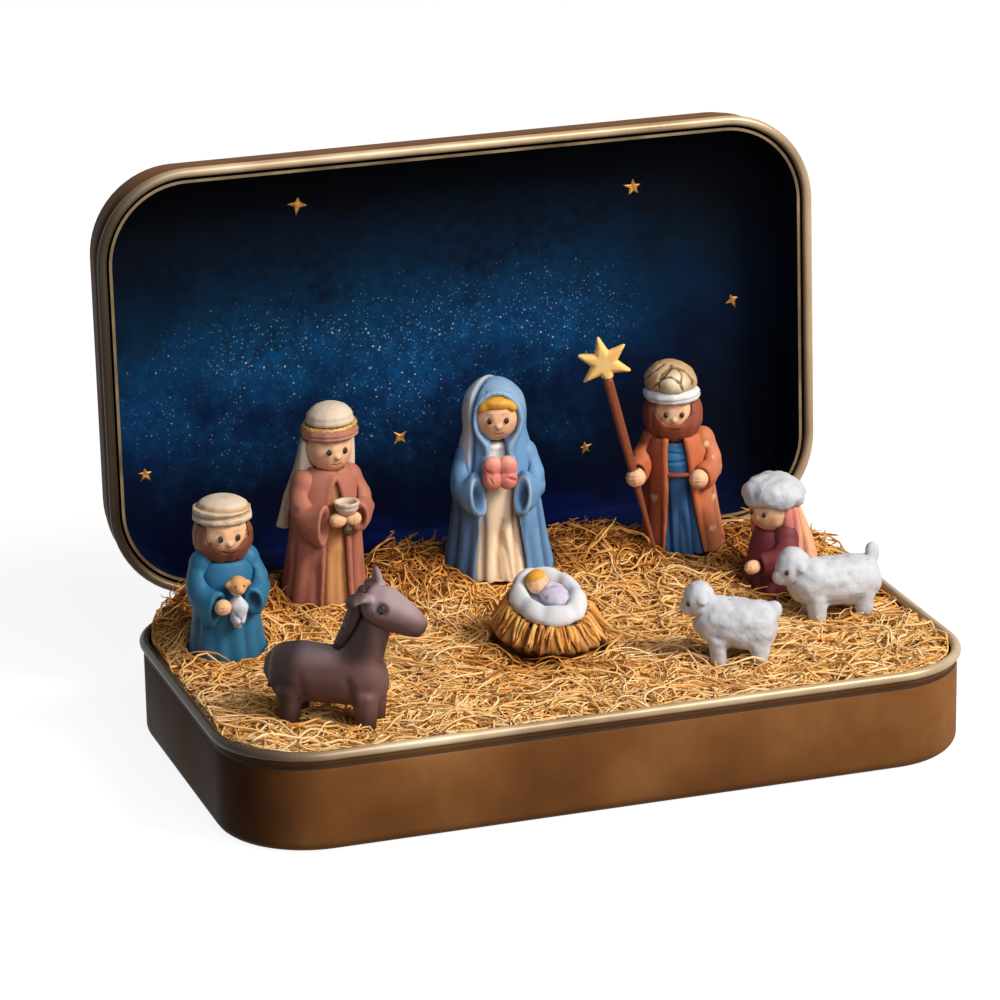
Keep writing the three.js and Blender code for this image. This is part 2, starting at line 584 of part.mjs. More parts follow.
function king() {
  const lean = KING_LEAN;
  const headX = lean * 19.6;
  const head = ball(headX, -0.5, 19.6, 3, 2.9, 3.1);
  const window = ball(headX, -4, 20.4, 2.65, 2.7, 1.85);
  const crown = block(headX, 0, 23, 9, 9, 4);
  const beard = cut(ball(headX, 0.1, 19, 4.1, 3.75, 4.3, 11, 7), grown(head), window, crown);
  const band = pressed(upright([
    [21.25, 3.3, 3.2, -0.3], [21.5, 3.75, 3.65, -0.3], [22.2, 3.85, 3.75, -0.3], [22.7, 3.5, 3.4, -0.3],
  ], 12, undefined, lean), head);
  const twists = (angle, height) => 1 + 0.05 * Math.cos(5 * angle + 2.2 * height);
  const turban = upright([
    [22.95, 3.1, 3, -0.3], [23.3, 3.45, 3.35, -0.3], [24.2, 3.5, 3.4, -0.3], [25.2, 2.9, 2.8, -0.3],
    [26, 1.9, 1.8, -0.3], [26.4, 0.8, 0.8, -0.3],
  ], 15, twists, lean);
  const tunic = pressed(upright([
    [0, 4, 3.5, -1], [0.6, 4.1, 3.6, -1], [6, 3.4, 3.1, -0.9], [11, 2.9, 2.7, -0.8], [14.5, 2.8, 2.5, -0.6],
    [16.6, 1.9, 1.8, -0.5],
  ], 14, folds(5, 0.055, 15), lean), head, beard);
  const opening = frontOpening([[3.1, -1], [1.9, 9], [1.7, 14], [1.2, 17]], 9, lean);
  const coat = cut(upright([
    [0, 5.5, 4.3], [0.6, 5.7, 4.5], [6, 5.1, 4.1], [11, 4.7, 3.7], [14.4, 4.7, 3.5], [16.2, 3.9, 3],
    [17.2, 2.6, 2.3],
  ], 15, folds(5, 0.04, 16, 1.2), lean), opening, grown(tunic), grown(head), grown(beard));
  const staff = limb([[-3.9, -5, 0.1, 0.4, 0.4], [-3.9, -5, 0.4, 0.5, 0.5], [-10.2, -5, 25.2, 0.6, 0.6],
    [-10.3, -5, 25.6, 0.45, 0.45]], 8);
  const rightArm = sleeve(RIGHT, [4, -0.4, 14.4], [4.6, -2, 11.8], [3.3, -4.1, 11.4], 0.8);
  const leftArm = sleeve(LEFT, [4.6, -0.3, 14.4], [5.8, -2, 12.4], [6.4, -3.6, 12], 0.8);
  const arms = [leftArm, rightArm.translate(lean * 14, 0, 0)]
    .map((arm) => pressed(arm, coat, tunic, beard, staff));
  const hands = [
    ball(-6.6, -5.2, 11.7, 1.3, 1.35, 1.25, 8, 6),
    ball(1.8, -5.2, 11.3, 1.25, 1.2, 1.25, 8, 6),
  ].map((hand) => pressed(hand, coat, tunic, staff, ...arms));
  const starTop = pressed(star(6, 3.7, 1.65, 1.3).rotateY(radians(-13)).translate(-10.7, -5, 27.7), staff);
  return stand([
    piece('king_tunic', tunic, finish(TUNIC_NAVY)),
    piece('king_coat', coat, finish(COAT_RUST)),
    piece('king_sleeve_left', arms[0], finish(COAT_RUST)),
    piece('king_sleeve_right', arms[1], finish(COAT_RUST)),
    piece('king_hand_left', hands[0], finish(SKIN)),
    piece('king_hand_right', hands[1], finish(SKIN)),
    piece('king_head', head, finish(SKIN)),
    piece('king_beard', beard, finish(BEARD_RUST)),
    piece('king_turban_band', band, finish(WHITE)),
    piece('king_turban', turban, finish(TURBAN_GOLD, 0.4)),
    piece('king_staff', staff, finish(STAFF_BROWN)),
    piece('king_star', starTop, finish(STAR_GOLD)),
  ], KING_PLACE, KING_TURN, [[0, 0, 6, 4.8], [-3.9, -5, 0.9, 0.9]]);
}

function kneeler() {
  const head = ball(0, -0.6, 11.3, 3, 2.9, 2.8);
  const robe = pressed(upright([
    [0, 4.4, 4.8, 0.4], [0.6, 4.6, 5, 0.4], [3.6, 3.9, 4, 0.3], [6.6, 3.3, 3.1, 0], [8.2, 2.7, 2.5, -0.2],
    [9.3, 1.5, 1.5, -0.3],
  ], 14, folds(5, 0.05, 9)), head);
  const scarfFront = block(0, -5, 9, 12, 9, 16);
  const scarf = cut(upright([
    [3.6, 4.4, 3.3, 2.6], [4.2, 4.7, 3.6, 2.5], [7.2, 4.3, 3.7, 1.7], [10, 3.9, 3.7, 0.6],
    [11.8, 3.5, 3.4, 0],
  ], 14, folds(5, 0.06, 14)), scarfFront, grown(head), grown(robe));
  const wool = (angle, height) => 1 + 0.05 * Math.cos(6 * angle + height * 3) * Math.cos(height * 1.7);
  const cap = pressed(upright([
    [12.1, 3.5, 3.4], [12.6, 4, 3.9], [13.5, 4.25, 4.15], [14.5, 3.95, 3.85], [15.4, 2.9, 2.8],
    [15.9, 1.2, 1.2],
  ], 14, wool), head);
  const arm = pressed(sleeve(RIGHT, [2.9, -0.6, 7.2], [3.6, -2.8, 5.4], [2, -4.8, 5], 0.6), robe, scarf);
  const hand = pressed(ball(1.4, -6, 4.9, 0.95, 1.3, 0.85, 8, 6), arm, robe);
  return stand([
    piece('kneeler_robe', robe, finish(ROBE_WINE)),
    piece('kneeler_sleeve', arm, finish(ROBE_WINE)),
    piece('kneeler_hand', hand, finish(SKIN)),
    piece('kneeler_head', head, finish(SKIN)),
    piece('kneeler_scarf', scarf, finish(SCARF_ROSE)),
    piece('kneeler_cap', cap, finish(WHITE)),
  ], KNEELER_PLACE, KNEELER_TURN, [[0, 0.4, 4.9, 5.3]]);
}

// Lowers the front of the nest and raises its back, so that the baby lies facing the front.
function tipped(geometry) {
  const { position } = geometry.attributes;
  for (let i = 0; i < position.count; i++) {
    const forward = position.getX(i) * TIP_ALONG[0] + position.getY(i) * TIP_ALONG[1];
    position.setZ(i, position.getZ(i) * (TIP_HEIGHT - TIP_SLOPE * forward));
  }
  return geometry;
}

// Oval straw nest whose ribs splay from the blanket to the rim, a puffed blanket round an oval hollow,
// and the baby in it.
function manger() {
  const ribs = 22;
  const ribbed = (angle, height) => 1 + 0.035 * Math.cos(ribs * angle) * Math.sin((Math.PI * height) / 6.4);
  const basket = upright([
    [0, 4.7, 3.8], [0.5, 5.2, 4.2], [2.3, 7.3, 5.9], [3, 7.8, 6.3], [3.6, 7.5, 6.1], [6.2, 5.7, 4.5],
    [5.9, 5, 3.9], [2.6, 3.8, 2.9],
  ], ribs * 2, ribbed);
  const lumps = (angle, height) => 1 + 0.025 * Math.cos(6 * angle + height);
  const blanket = upright([
    [2.9, 3.2, 2.3], [5.8, 4.4, 3.3], [6.5, 5, 4], [7.2, 5.5, 4.4], [8.2, 5.3, 4.2], [9, 4.6, 3.6],
    [9.3, 3.9, 2.9], [8.7, 3.2, 2.3], [7.4, 2.7, 1.9],
  ], 16, lumps);
  const head = pressed(ball(-1.7, 0, 9.2, 1.45, 1.4, 1.3, 8, 6), blanket);
  const swaddle = pressed(ball(1, 0, 8.6, 2.1, 1.6, 1.2, 8, 6), blanket, head);
  return stand([
    piece('manger_basket', tipped(basket), finish(STRAW_GOLD, 0.7)),
    piece('manger_blanket', tipped(blanket), finish(WHITE)),
    piece('baby_swaddle', tipped(swaddle), finish(SWADDLE_BLUE)),
    piece('baby_head', tipped(head), finish(SKIN)),
  ], MANGER_PLACE, MANGER_TURN, [[0, 0, 8.1, 6.6]]);
}

// A short leg, a little narrower at the foot than where it joins the body.
function leg(x, y, height, radius) {
  const foot = radius * 0.85;
  const hip = radius * 1.2;
  const levels = [[0, foot, foot], [height / 2, radius, radius], [height, hip, hip]];
  return upright(levels, LEG_SIDES).translate(x, y, 0);
}

// A sheep that faces +X before it is turned: fleecy body on short legs, tail, and a round head.
// The tail is [distance behind the body's end, height].
function sheep(name, place, turn, length, headDrop, headScale, [tailBack, tailZ]) {
  const half = length / 2;
  const wool = (angle, x) => 1 + 0.05 * Math.cos(5 * angle + x * 2) * Math.cos(x * 1.6);
  const barrel = limb([
    [-half - 0.3, 0, 5.2, 1.3, 1.3], [-half * 0.88, 0, 5, 2.6, 2.7], [-half * 0.35, 0, 4.9, 3.1, 3.2],
    [half * 0.35, 0, 5, 3, 3.2], [half * 0.85, 0, 5.7, 2.6, 3.1], [half + 0.3, 0, 6.6, 1.7, 2],
  ], 11, wool);
  const legX = half * 0.62;
  const legs = [[-legX, -1.5], [-legX, 1.5], [legX, -1.5], [legX, 1.5]];
  const tail = ball(-half - tailBack, 0, tailZ, 0.85, 0.8, 1, 7, 5);
  const body = join(barrel, tail, ...legs.map(([x, y]) => leg(x, y, 3.6, 1.15)));
  const headZ = 8.3 - headDrop;
  const head = pressed(join(
    ball(half + 0.8, 0, headZ, 2.1 * headScale, 1.9 * headScale, 2.4 * headScale, 9, 6),
    ball(half + 2.2 * headScale, 0, headZ - 1.1, 1.2, 1.1, 1.1, 7, 5),
  ), body);
  return stand([
    piece(`${name}_body`, body, finish(WHITE)),
    piece(`${name}_head`, head, finish(WHITE)),
  ], place, turn, legs.map(([x, y]) => [x, y, 1.25, 1.25]));
}

// The donkey faces +X before it is turned.
function donkey() {
  const barrel = limb([
    [-8.1, 0, 6.7, 1.3, 1.5], [-7.4, 0, 6.6, 2.6, 3.2], [-4.6, 0, 6.5, 3.2, 3.8], [0, 0, 6.4, 3.1, 3.6],
    [4, 0, 6.6, 3, 3.8], [5.8, 0, 7, 2.3, 3.1], [6.5, 0, 7.2, 1.2, 1.7],
  ], 12);
  const neck = limb([
    [2.9, 0, 7.2, 2.7, 2.8], [3.9, 0, 10, 2.4, 2.6], [4.9, 0, 12.4, 2.1, 2.3], [5.8, 0, 14.4, 1.8, 1.9],
  ], 10);
  const legs = [[-5.4, -1.7], [-5.4, 1.7], [4.6, -1.7], [4.6, 1.7]];
  const tail = limb([[-7.4, 0, 9, 0.5, 0.5], [-8.4, 0, 8, 0.6, 0.6], [-8.7, 0, 5.9, 0.65, 0.7],
    [-8.6, 0, 3.9, 0.4, 0.4]], 8);
  const body = join(barrel, neck, tail, ...legs.map(([x, y]) => leg(x, y, 5, 1.45)));
  const skull = limb([
    [4.2, 0, 16.1, 1.3, 1.3], [5.1, 0, 16.1, 2.3, 2.4], [6.8, 0, 15.8, 2.6, 2.75], [8.8, 0, 14.9, 2.1, 2.2],
    [10.6, 0, 14, 1.6, 1.65], [11.8, 0, 13.4, 1, 1.05],
  ], 11);
  const ears = [LEFT, RIGHT].map((side) => limb([
    [5.6, side * 1.6, 17.2, 0.7, 0.5], [4.9, side * 2.5, 17.7, 1.3, 0.55],
    [4.3, side * 3.6, 17.7, 1.45, 0.55], [3.9, side * 4.6, 17.3, 0.8, 0.45],
  ], 7));
  const head = pressed(join(skull, ...ears), body);
  const mane = pressed(limb([
    [0.4, 0, 10, 0.7, 0.5], [1.5, 0, 10.9, 1.6, 1.1], [2.8, 0, 13, 1.9, 1.3], [3.4, 0, 15.4, 1.7, 1.1],
    [4.4, 0, 18.2, 1, 0.7],
  ], 9), body, head);
  return stand([
    piece('donkey_body', body, finish(DONKEY_BROWN)),
    piece('donkey_head', head, finish(DONKEY_BROWN)),
    piece('donkey_mane', mane, finish(MANE_BROWN)),
  ], DONKEY_PLACE, DONKEY_TURN, legs.map(([x, y]) => [x, y, 1.5, 1.5]));
}

// The tray with the two outer knuckles of each hinge.
function baseTray() {
  const tray = pressedTray(BASE_HEIGHT, 0,
    pressedLine(BASE_HEIGHT - LINE_BELOW_RIM, LINE_HALF, LINE_DEPTH));
  const knuckles = [LEFT, RIGHT].flatMap((side) => [LEFT, RIGHT].map((end) => {
    const x = side * HINGE_SPREAD + end * (KNUCKLE_LENGTH + KNUCKLE_GAP);
    return knuckle(x, KNUCKLE_LENGTH, LEFT).translate(0, HINGE_Y, HINGE_Z);
  }));
  return piece('base_tray', join(tray, ...knuckles), finish(BRONZE, METAL_ROUGHNESS, 1));
}

function hingePins() {
  return [['hinge_pin_left', LEFT], ['hinge_pin_right', RIGHT]].map(([name, side]) => {
    const pin = piece(name, hingePin(), finish(STEEL, METAL_ROUGHNESS, 1));
    pin.position.set(side * HINGE_SPREAD, HINGE_Y, HINGE_Z);
    return pin;
  });
}

// The lid and its liner, built lying open on their backs about the hinge axis, then swung up.
function lid() {
  const step = [
    [LID_STEP_INSET, LID_STEP_HEIGHT],
    [0, LID_STEP_HEIGHT + LID_STEP_RISE],
    ...pressedLine(LID_DEPTH - LID_LINE_BELOW_RIM, LID_LINE_HALF, LID_LINE_DEPTH),
  ];
  const backX = 0;
  const backY = HINGE_Y;
  const backZ = -LID_DEPTH - LID_RIM_ABOVE_AXIS;
  const tray = pressedTray(LID_DEPTH, LID_STEP_INSET, step).translate(backX, backY, backZ);
  const knuckles = [LEFT, RIGHT].map((side) => knuckle(side * HINGE_SPREAD, KNUCKLE_LENGTH, RIGHT));
  const edge = LINER_INSET + LINER_EDGE_ROUND;
  const liner = loft([
    ...arc(edge, LINER_FLOOR + LINER_EDGE_ROUND, LINER_EDGE_ROUND, 270, 180, EDGE_STEPS),
    [LINER_INSET, LINER_TOP],
    [LINER_INSET + LINER_THICKNESS, LINER_TOP],
    ...arc(edge, LINER_FLOOR + LINER_EDGE_ROUND, LINER_EDGE_ROUND - LINER_THICKNESS, 180, 270, EDGE_STEPS),
  ].map(tinRing)).translate(backX, backY, backZ);
  const group = new THREE.Group();
  group.add(
    piece('lid_shell', join(tray, ...knuckles), finish(BRONZE, METAL_ROUGHNESS, 1)),
    piece('sky_liner', liner, finish(SKY, 0.6)),
  );
  group.position.set(0, HINGE_Y, HINGE_Z);
  group.rotation.x = radians(180 - LID_OPEN_DEGREES);
  return group;
}

const figures = [
  shepherd(),
  giftBearer(),
  mother(),
  king(),
  kneeler(),
  manger(),
  sheep('front_sheep', FRONT_SHEEP_PLACE, FRONT_SHEEP_TURN, 8.6, 0, 1, [0.2, 6.5]),
  sheep('back_sheep', BACK_SHEEP_PLACE, BACK_SHEEP_TURN, 10.8, 0.7, 1.12, [-0.4, 7.9]),
  donkey(),
];

const tin = new THREE.Group();
tin.add(
  baseTray(),
  piece('straw_bed', strawBed(strawPresses), finish(STRAW_GOLD, 0.8)),
  ...hingePins(),
  lid(),
  ...figures,
);

export default tin;
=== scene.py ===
"""Looks of the pocket nativity tin: bronzed tinplate, a painted night sky, wood-wool and clay figures."""

import json
import logging
import math
from dataclasses import dataclass, field
from enum import Enum
from typing import Callable, Sequence

import bmesh
import bpy
import numpy as np
from mathutils import Euler, Matrix, Vector


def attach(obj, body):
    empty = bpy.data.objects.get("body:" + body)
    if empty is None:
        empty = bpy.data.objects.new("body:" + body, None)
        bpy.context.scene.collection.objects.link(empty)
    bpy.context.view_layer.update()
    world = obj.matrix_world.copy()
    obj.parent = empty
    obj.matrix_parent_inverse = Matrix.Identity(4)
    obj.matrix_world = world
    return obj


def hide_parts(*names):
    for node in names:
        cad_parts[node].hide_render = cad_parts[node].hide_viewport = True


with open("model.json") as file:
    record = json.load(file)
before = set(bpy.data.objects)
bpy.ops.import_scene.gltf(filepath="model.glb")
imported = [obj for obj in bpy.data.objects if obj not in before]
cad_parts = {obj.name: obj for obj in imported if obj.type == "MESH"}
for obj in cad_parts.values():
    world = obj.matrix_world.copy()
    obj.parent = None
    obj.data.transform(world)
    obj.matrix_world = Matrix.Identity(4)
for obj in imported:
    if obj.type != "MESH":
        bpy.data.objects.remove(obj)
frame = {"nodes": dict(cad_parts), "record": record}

LOG = logging.getLogger("nativity_tin")
MM = 0.001
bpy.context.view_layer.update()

Point = tuple[float, float, float]

# Half the tin's length in metres: the patterns on its shells run from end to end.
TIN_END = 0.05
# Places within this many millimetres count as the same.
NEAR = 0.01
# Smoothing rounds of a clay skin, and the distances in millimetres over which it keeps a crisp edge.
SKIN_ROUNDS = 6
CRISP_REACH = (0.1, 1.1)
# Depth in millimetres at which a hollow gets all the painted shade that the wash colour gives.
FULL_HOLLOW_SHADE = 0.09


# Colours and shader nodes

# Where a node's sockets share a name they are given by number. Mix takes its share at 0 and two colours
# at 6 and 7. MapRange takes a value at 0, its old ends at 1 and 2, and its new ends at 3 and 4.


def colour(code: str) -> tuple[float, float, float, float]:
    """Turns an sRGB hex value to linear.

    Args:
        code: Colour such as "#7a5638".

    Returns:
        Linear red, green and blue, with alpha 1.
    """
    shares = [int(code[i : i + 2], 16) / 255 for i in (1, 3, 5)]
    red, green, blue = (
        s / 12.92 if s <= 0.04045 else ((s + 0.055) / 1.055) ** 2.4 for s in shares
    )
    return red, green, blue, 1.0


def add(tree: bpy.types.NodeTree, kind: str, links: dict | None = None,
        stops: Sequence[tuple[float, str]] = (), **settings) -> bpy.types.Node:
    """Adds a shader node with its settings, values, links and colour stops.

    Args:
        tree: Node tree of the material.
        kind: Node type without its prefix, such as "TexNoise".
        links: Input name or index to a value, a socket, or a node that stands for its first output in use.
        stops: Places and sRGB hex colours of a colour ramp, in rising order.
        settings: Properties of the node itself.

    Returns:
        The new node.
    """
    node = tree.nodes.new(f"ShaderNode{kind}")
    for name, value in settings.items():
        setattr(node, name, value)
    for key, value in (links or {}).items():
        if isinstance(value, bpy.types.Node):
            value = next(socket for socket in value.outputs if socket.enabled)
        if isinstance(value, bpy.types.NodeSocket):
            tree.links.new(value, node.inputs[key])
        else:
            node.inputs[key].default_value = value
    for number, (place, code) in enumerate(stops):
        elements = node.color_ramp.elements
        element = elements[number] if number < 2 else elements.new(place)
        element.position = place
        element.color = colour(code)
    return node


def per_mm(size: float) -> float:
    """Gives the texture scale whose features are about size millimetres across."""
    return 1 / (size * MM)


def blank(name: str) -> tuple[bpy.types.Material, bpy.types.NodeTree, bpy.types.NodeSocket]:
    """Makes an empty material with the object's own coordinates.

    Args:
        name: Name of the real material.

    Returns:
        The material, its node tree and the Object coordinate socket.
    """
    material = bpy.data.materials.new(name)
    material.use_nodes = True
    tree = material.node_tree
    tree.nodes.clear()
    return material, tree, add(tree, "TexCoord").outputs["Object"]


# Finishes


@dataclass(frozen=True)
class Finish:
    """A finish under the name of its real material."""

    name: str

    def material(self) -> bpy.types.Material:
        """Returns the finish as a material, which is mixed once."""
        return bpy.data.materials.get(self.name) or self.mixed()

    def mixed(self) -> bpy.types.Material:
        """Builds the nodes of the material."""
        raise NotImplementedError


@dataclass(frozen=True)
class ClayFinish(Finish):
    """Oven-hardened polymer clay, tooled by hand: a dull soft sheen, faint mottling and finger dents.

    The accent colour is painted where a piece's accent attribute says, as real paint and on some pieces
    as painted highlight. The wash is a darker tone in the tooled lines, and painted shade in hollows,
    folds and on shaded sides.
    """

    base: str
    wash_and_shade: str
    accent: str = "#f4ece0"
    roughness: float = 0.56
    mottle_mm: float = 2.2
    grain_mm: float = 0.3
    grain_depth_mm: float = 0.035
    wash_and_shade_share: float = 0.75

    def mixed(self) -> bpy.types.Material:
        """Builds the nodes of the material."""
        material, tree, place = blank(self.name)
        accent = add(tree, "Attribute", attribute_name="accent")
        wash_and_shade_amount = add(tree, "Attribute", attribute_name="wash_and_shade")
        mottle = add(tree, "TexNoise", {"Vector": place, "Scale": per_mm(self.mottle_mm), "Detail": 3.0})
        grain = add(tree, "TexNoise", {"Vector": place, "Scale": per_mm(self.grain_mm), "Detail": 2.0})
        # The accent attribute paints the accent colour: real paint, and on some pieces painted highlight.
        paints = {0: accent, 6: colour(self.base), 7: colour(self.accent)}
        painted = add(tree, "Mix", paints, data_type="RGBA")
        # The wash attribute darkens towards the wash colour: tooled lines, and painted shade in hollows and
        # on shaded sides.
        shade = add(tree, "Math", {0: wash_and_shade_amount, 1: self.wash_and_shade_share}, operation="MULTIPLY")
        toned = add(tree, "Mix", {0: shade, 6: painted, 7: colour(self.wash_and_shade)}, data_type="RGBA")
        uneven = add(tree, "MapRange", {0: mottle, 1: 0.38, 2: 0.72, 3: 0.0, 4: 0.14})
        final = add(tree, "Mix", {0: uneven, 6: toned, 7: colour(self.wash_and_shade)}, data_type="RGBA")
        low, high = self.roughness - 0.07, self.roughness + 0.08
        rough = add(tree, "MapRange", {0: grain, 1: 0.3, 2: 0.7, 3: low, 4: high})
        height = add(tree, "Math", {0: grain, 1: mottle}, operation="ADD")
        bump = add(tree, "Bump", {"Height": height, "Strength": 0.6, "Distance": self.grain_depth_mm * MM})
        links = {"Base Color": final, "Roughness": rough, "Normal": bump, "Specular IOR Level": 0.3}
        add(tree, "OutputMaterial", {0: add(tree, "BsdfPrincipled", links)})
        return material


@dataclass(frozen=True)
class TinplateFinish(Finish):
    """Tinplate drawn over a die under tinted lacquer: a dull brown sheen, clouded with age.

    The draw has left very faint upright streaks, and towards the left end the colour darkens as painted
    shade.
    """

    dark: str
    base: str
    light: str
    roughness: float
    metallic: float
    gloss: float
    # Painted shade towards the left end: its colour, its greatest share and its reach in millimetres.
    left_shade: str = "#120905"
    left_shade_share: float = 0.8
    left_shade_mm: float = 10.0
    streak_mm: float = 2.2
    cloud_mm: float = 17.0

    def mixed(self) -> bpy.types.Material:
        """Builds the nodes of the material."""
        material, tree, place = blank(self.name)
        upright = add(tree, "Mapping", {"Vector": place, "Scale": (1.0, 1.0, 0.12)})
        streak = add(tree, "TexNoise", {"Vector": upright, "Scale": per_mm(self.streak_mm), "Detail": 3.0})
        cloud = add(tree, "TexNoise", {"Vector": place, "Scale": per_mm(self.cloud_mm), "Detail": 4.0})
        speck = add(tree, "TexNoise", {"Vector": place, "Scale": per_mm(0.35), "Detail": 2.0})
        worn = add(tree, "Math", {0: streak, 1: 0.07, 2: cloud}, operation="MULTIPLY_ADD")
        tone = add(tree, "MapRange", {0: worn, 1: 0.22, 2: 0.86})
        patina = add(tree, "ValToRGB", {0: tone}, ((0.0, self.dark), (0.5, self.base), (1.0, self.light)))
        # Painted shade: the colour darkens towards the tin's left end, the end away from the light.
        along = add(tree, "SeparateXYZ", {0: place}).outputs["X"]
        ends = {0: along, 1: -TIN_END, 2: self.left_shade_mm * MM - TIN_END, 3: self.left_shade_share, 4: 0.0}
        left_shaded = add(tree, "MapRange", ends, interpolation_type="SMOOTHSTEP")
        patina = add(tree, "Mix", {0: left_shaded, 6: patina, 7: colour(self.left_shade)}, data_type="RGBA")
        low, high = self.roughness - 0.05, self.roughness + 0.08
        rough = add(tree, "MapRange", {0: cloud, 1: 0.35, 2: 0.68, 3: low, 4: high})
        bump = add(tree, "Bump", {"Height": speck, "Strength": 0.3, "Distance": 0.015 * MM})
        links = {"Base Color": patina, "Roughness": rough, "Normal": bump, "Metallic": self.metallic,
                 "Specular IOR Level": self.gloss}
        add(tree, "OutputMaterial", {0: add(tree, "BsdfPrincipled", links)})
        return material


@dataclass(frozen=True)
class NightSkyFinish(Finish):
    """Card painted as a night sky: navy sponged over black, a blue haze and spattered star dust.

    The haze runs out towards the right end, which is darkened as painted shade,
    and the foot of the sky is a clearer blue.
    """

    name: str = "painted night-sky card"
    low_mm: float = 15.0
    tall_mm: float = 55.0
    haze_mm: float = 13.0
    spatter_mm: tuple[float, ...] = (0.4, 0.6, 0.95, 2.2)
    spatter_reach: tuple[float, ...] = (0.23, 0.2, 0.17, 0.1)
    spatter_share: tuple[float, ...] = (0.6, 0.6, 0.75, 0.95)

    def mixed(self) -> bpy.types.Material:
        """Builds the nodes of the material."""
        material, tree, place = blank(self.name)
        parts = add(tree, "SeparateXYZ", {0: place})
        detail = {"Vector": place, "Scale": per_mm(self.haze_mm), "Detail": 6.0, "Roughness": 0.65}
        haze = add(tree, "TexNoise", detail)
        sponge = add(tree, "TexNoise", {"Vector": place, "Scale": per_mm(1.4), "Detail": 4.0})
        # Height up the sky, slanted and drifting with the haze.
        top = (self.low_mm + self.tall_mm) * MM
        level = add(tree, "MapRange", {0: parts.outputs["Z"], 1: self.low_mm * MM, 2: top})
        slant = add(tree, "MapRange", {0: parts.outputs["X"], 1: -TIN_END, 2: TIN_END, 3: 0.05, 4: -0.06})
        drift = add(tree, "MapRange", {0: haze, 1: 0.3, 2: 0.7, 3: -0.1, 4: 0.1})
        wavy = add(tree, "Math", {0: level, 1: drift}, operation="ADD")
        wavy = add(tree, "Math", {0: wavy, 1: slant}, operation="ADD")
        # Ground colours from the foot to the top, and a band of haze that fades at both ends.
        sky = add(tree, "ValToRGB", {0: wavy}, (
            (0.0, "#061548"), (0.07, "#040c2c"), (0.2, "#02081e"), (0.36, "#041636"), (0.5, "#072a50"),
            (0.62, "#062038"), (0.76, "#040a16"), (1.0, "#030508"),
        ))
        band = add(tree, "ValToRGB", {0: wavy}, (
            (0.14, "#000000"), (0.4, "#c0c0c0"), (0.54, "#ffffff"), (0.68, "#8c8c8c"), (0.9, "#000000"),
        ))
        across = add(tree, "MapRange", {0: parts.outputs["X"], 1: -TIN_END, 2: TIN_END})
        fade = add(tree, "ValToRGB", {0: across}, (
            (0.0, "#707070"), (0.18, "#ffffff"), (0.66, "#ffffff"), (0.82, "#606060"), (0.95, "#000000"),
        ))
        cloud = add(tree, "MapRange", {0: haze, 1: 0.34, 2: 0.6, 3: 0.15, 4: 1.0})
        lit = add(tree, "Math", {0: band, 1: fade}, operation="MULTIPLY")
        crowd = add(tree, "Math", {0: lit, 1: cloud}, operation="MULTIPLY")
        glow = add(tree, "MapRange", {0: sponge, 1: 0.38, 2: 0.7, 3: 0.25, 4: 0.8})
        veil = add(tree, "Math", {0: glow, 1: crowd}, operation="MULTIPLY")
        sky = add(tree, "Mix", {0: veil, 6: sky, 7: colour("#0c4f86")}, data_type="RGBA")
        # Painted shade: the right end of the sky is darkened, as if shaded by the lid's right wall.
        right_shade = add(tree, "MapRange", {0: parts.outputs["X"], 1: 0.016, 2: 0.045, 3: 0.0, 4: 0.85})
        sky = add(tree, "Mix", {0: right_shade, 6: sky, 7: colour("#04060c")}, data_type="RGBA")
        # Spatter in four sizes of drop, crowded in the haze and sparse outside it.
        sparse = add(tree, "MapRange", {0: lit, 1: 0.0, 2: 1.0, 3: 0.2, 4: 0.45})
        crowd = add(tree, "Math", {0: crowd, 1: sparse}, operation="ADD")
        for size, reach, share in zip(self.spatter_mm, self.spatter_reach, self.spatter_share):
            dots = add(tree, "TexVoronoi", {"Vector": place, "Scale": per_mm(size)})
            dot = add(tree, "MapRange", {0: dots, 1: reach, 2: reach * 0.5})
            chance = add(tree, "SeparateColor", {0: dots.outputs["Color"]})
            some = add(tree, "Math", {0: chance.outputs[0], 1: crowd}, operation="MULTIPLY")
            some = add(tree, "MapRange", {0: some, 1: 0.36, 2: 0.95, 3: 0.0, 4: share})
            dot = add(tree, "Math", {0: dot, 1: some}, operation="MULTIPLY")
            tints = {0: chance.outputs[1], 6: colour("#5aa0c4"), 7: colour("#dfe6ea")}
            tint = add(tree, "Mix", tints, data_type="RGBA")
            sky = add(tree, "Mix", {0: dot, 6: sky, 7: tint}, data_type="RGBA")
        bump = add(tree, "Bump", {"Height": sponge, "Strength": 0.3, "Distance": 0.05 * MM})
        links = {"Base Color": sky, "Roughness": 0.85, "Normal": bump, "Specular IOR Level": 0.06}
        add(tree, "OutputMaterial", {0: add(tree, "BsdfPrincipled", links)})
        return material


@dataclass(frozen=True)
class WoodWoolFinish(Finish):
    """Wood-wool: pale shavings dyed gold, dull with a waxy glint on the ridges.

    Each strand has its own tone, which also holds painted light and shade.
    """

    stops: tuple[tuple[float, str], ...]
    roughness: float = 0.6

    def mixed(self) -> bpy.types.Material:
        """Builds the nodes of the material."""
        material, tree, place = blank(self.name)
        tone = add(tree, "Attribute", attribute_name="tone")
        grain = add(tree, "TexNoise", {"Vector": place, "Scale": per_mm(0.5), "Detail": 3.0})
        uneven = add(tree, "MapRange", {0: grain, 1: 0.3, 2: 0.7, 3: -0.08, 4: 0.08})
        shade = add(tree, "Math", {0: tone, 1: uneven}, operation="ADD")
        gold = add(tree, "ValToRGB", {0: shade}, self.stops)
        bump = add(tree, "Bump", {"Height": grain, "Strength": 0.4, "Distance": 0.06 * MM})
        links = {"Base Color": gold, "Roughness": self.roughness, "Normal": bump, "Specular IOR Level": 0.3}
        add(tree, "OutputMaterial", {0: add(tree, "BsdfPrincipled", links)})
        return material


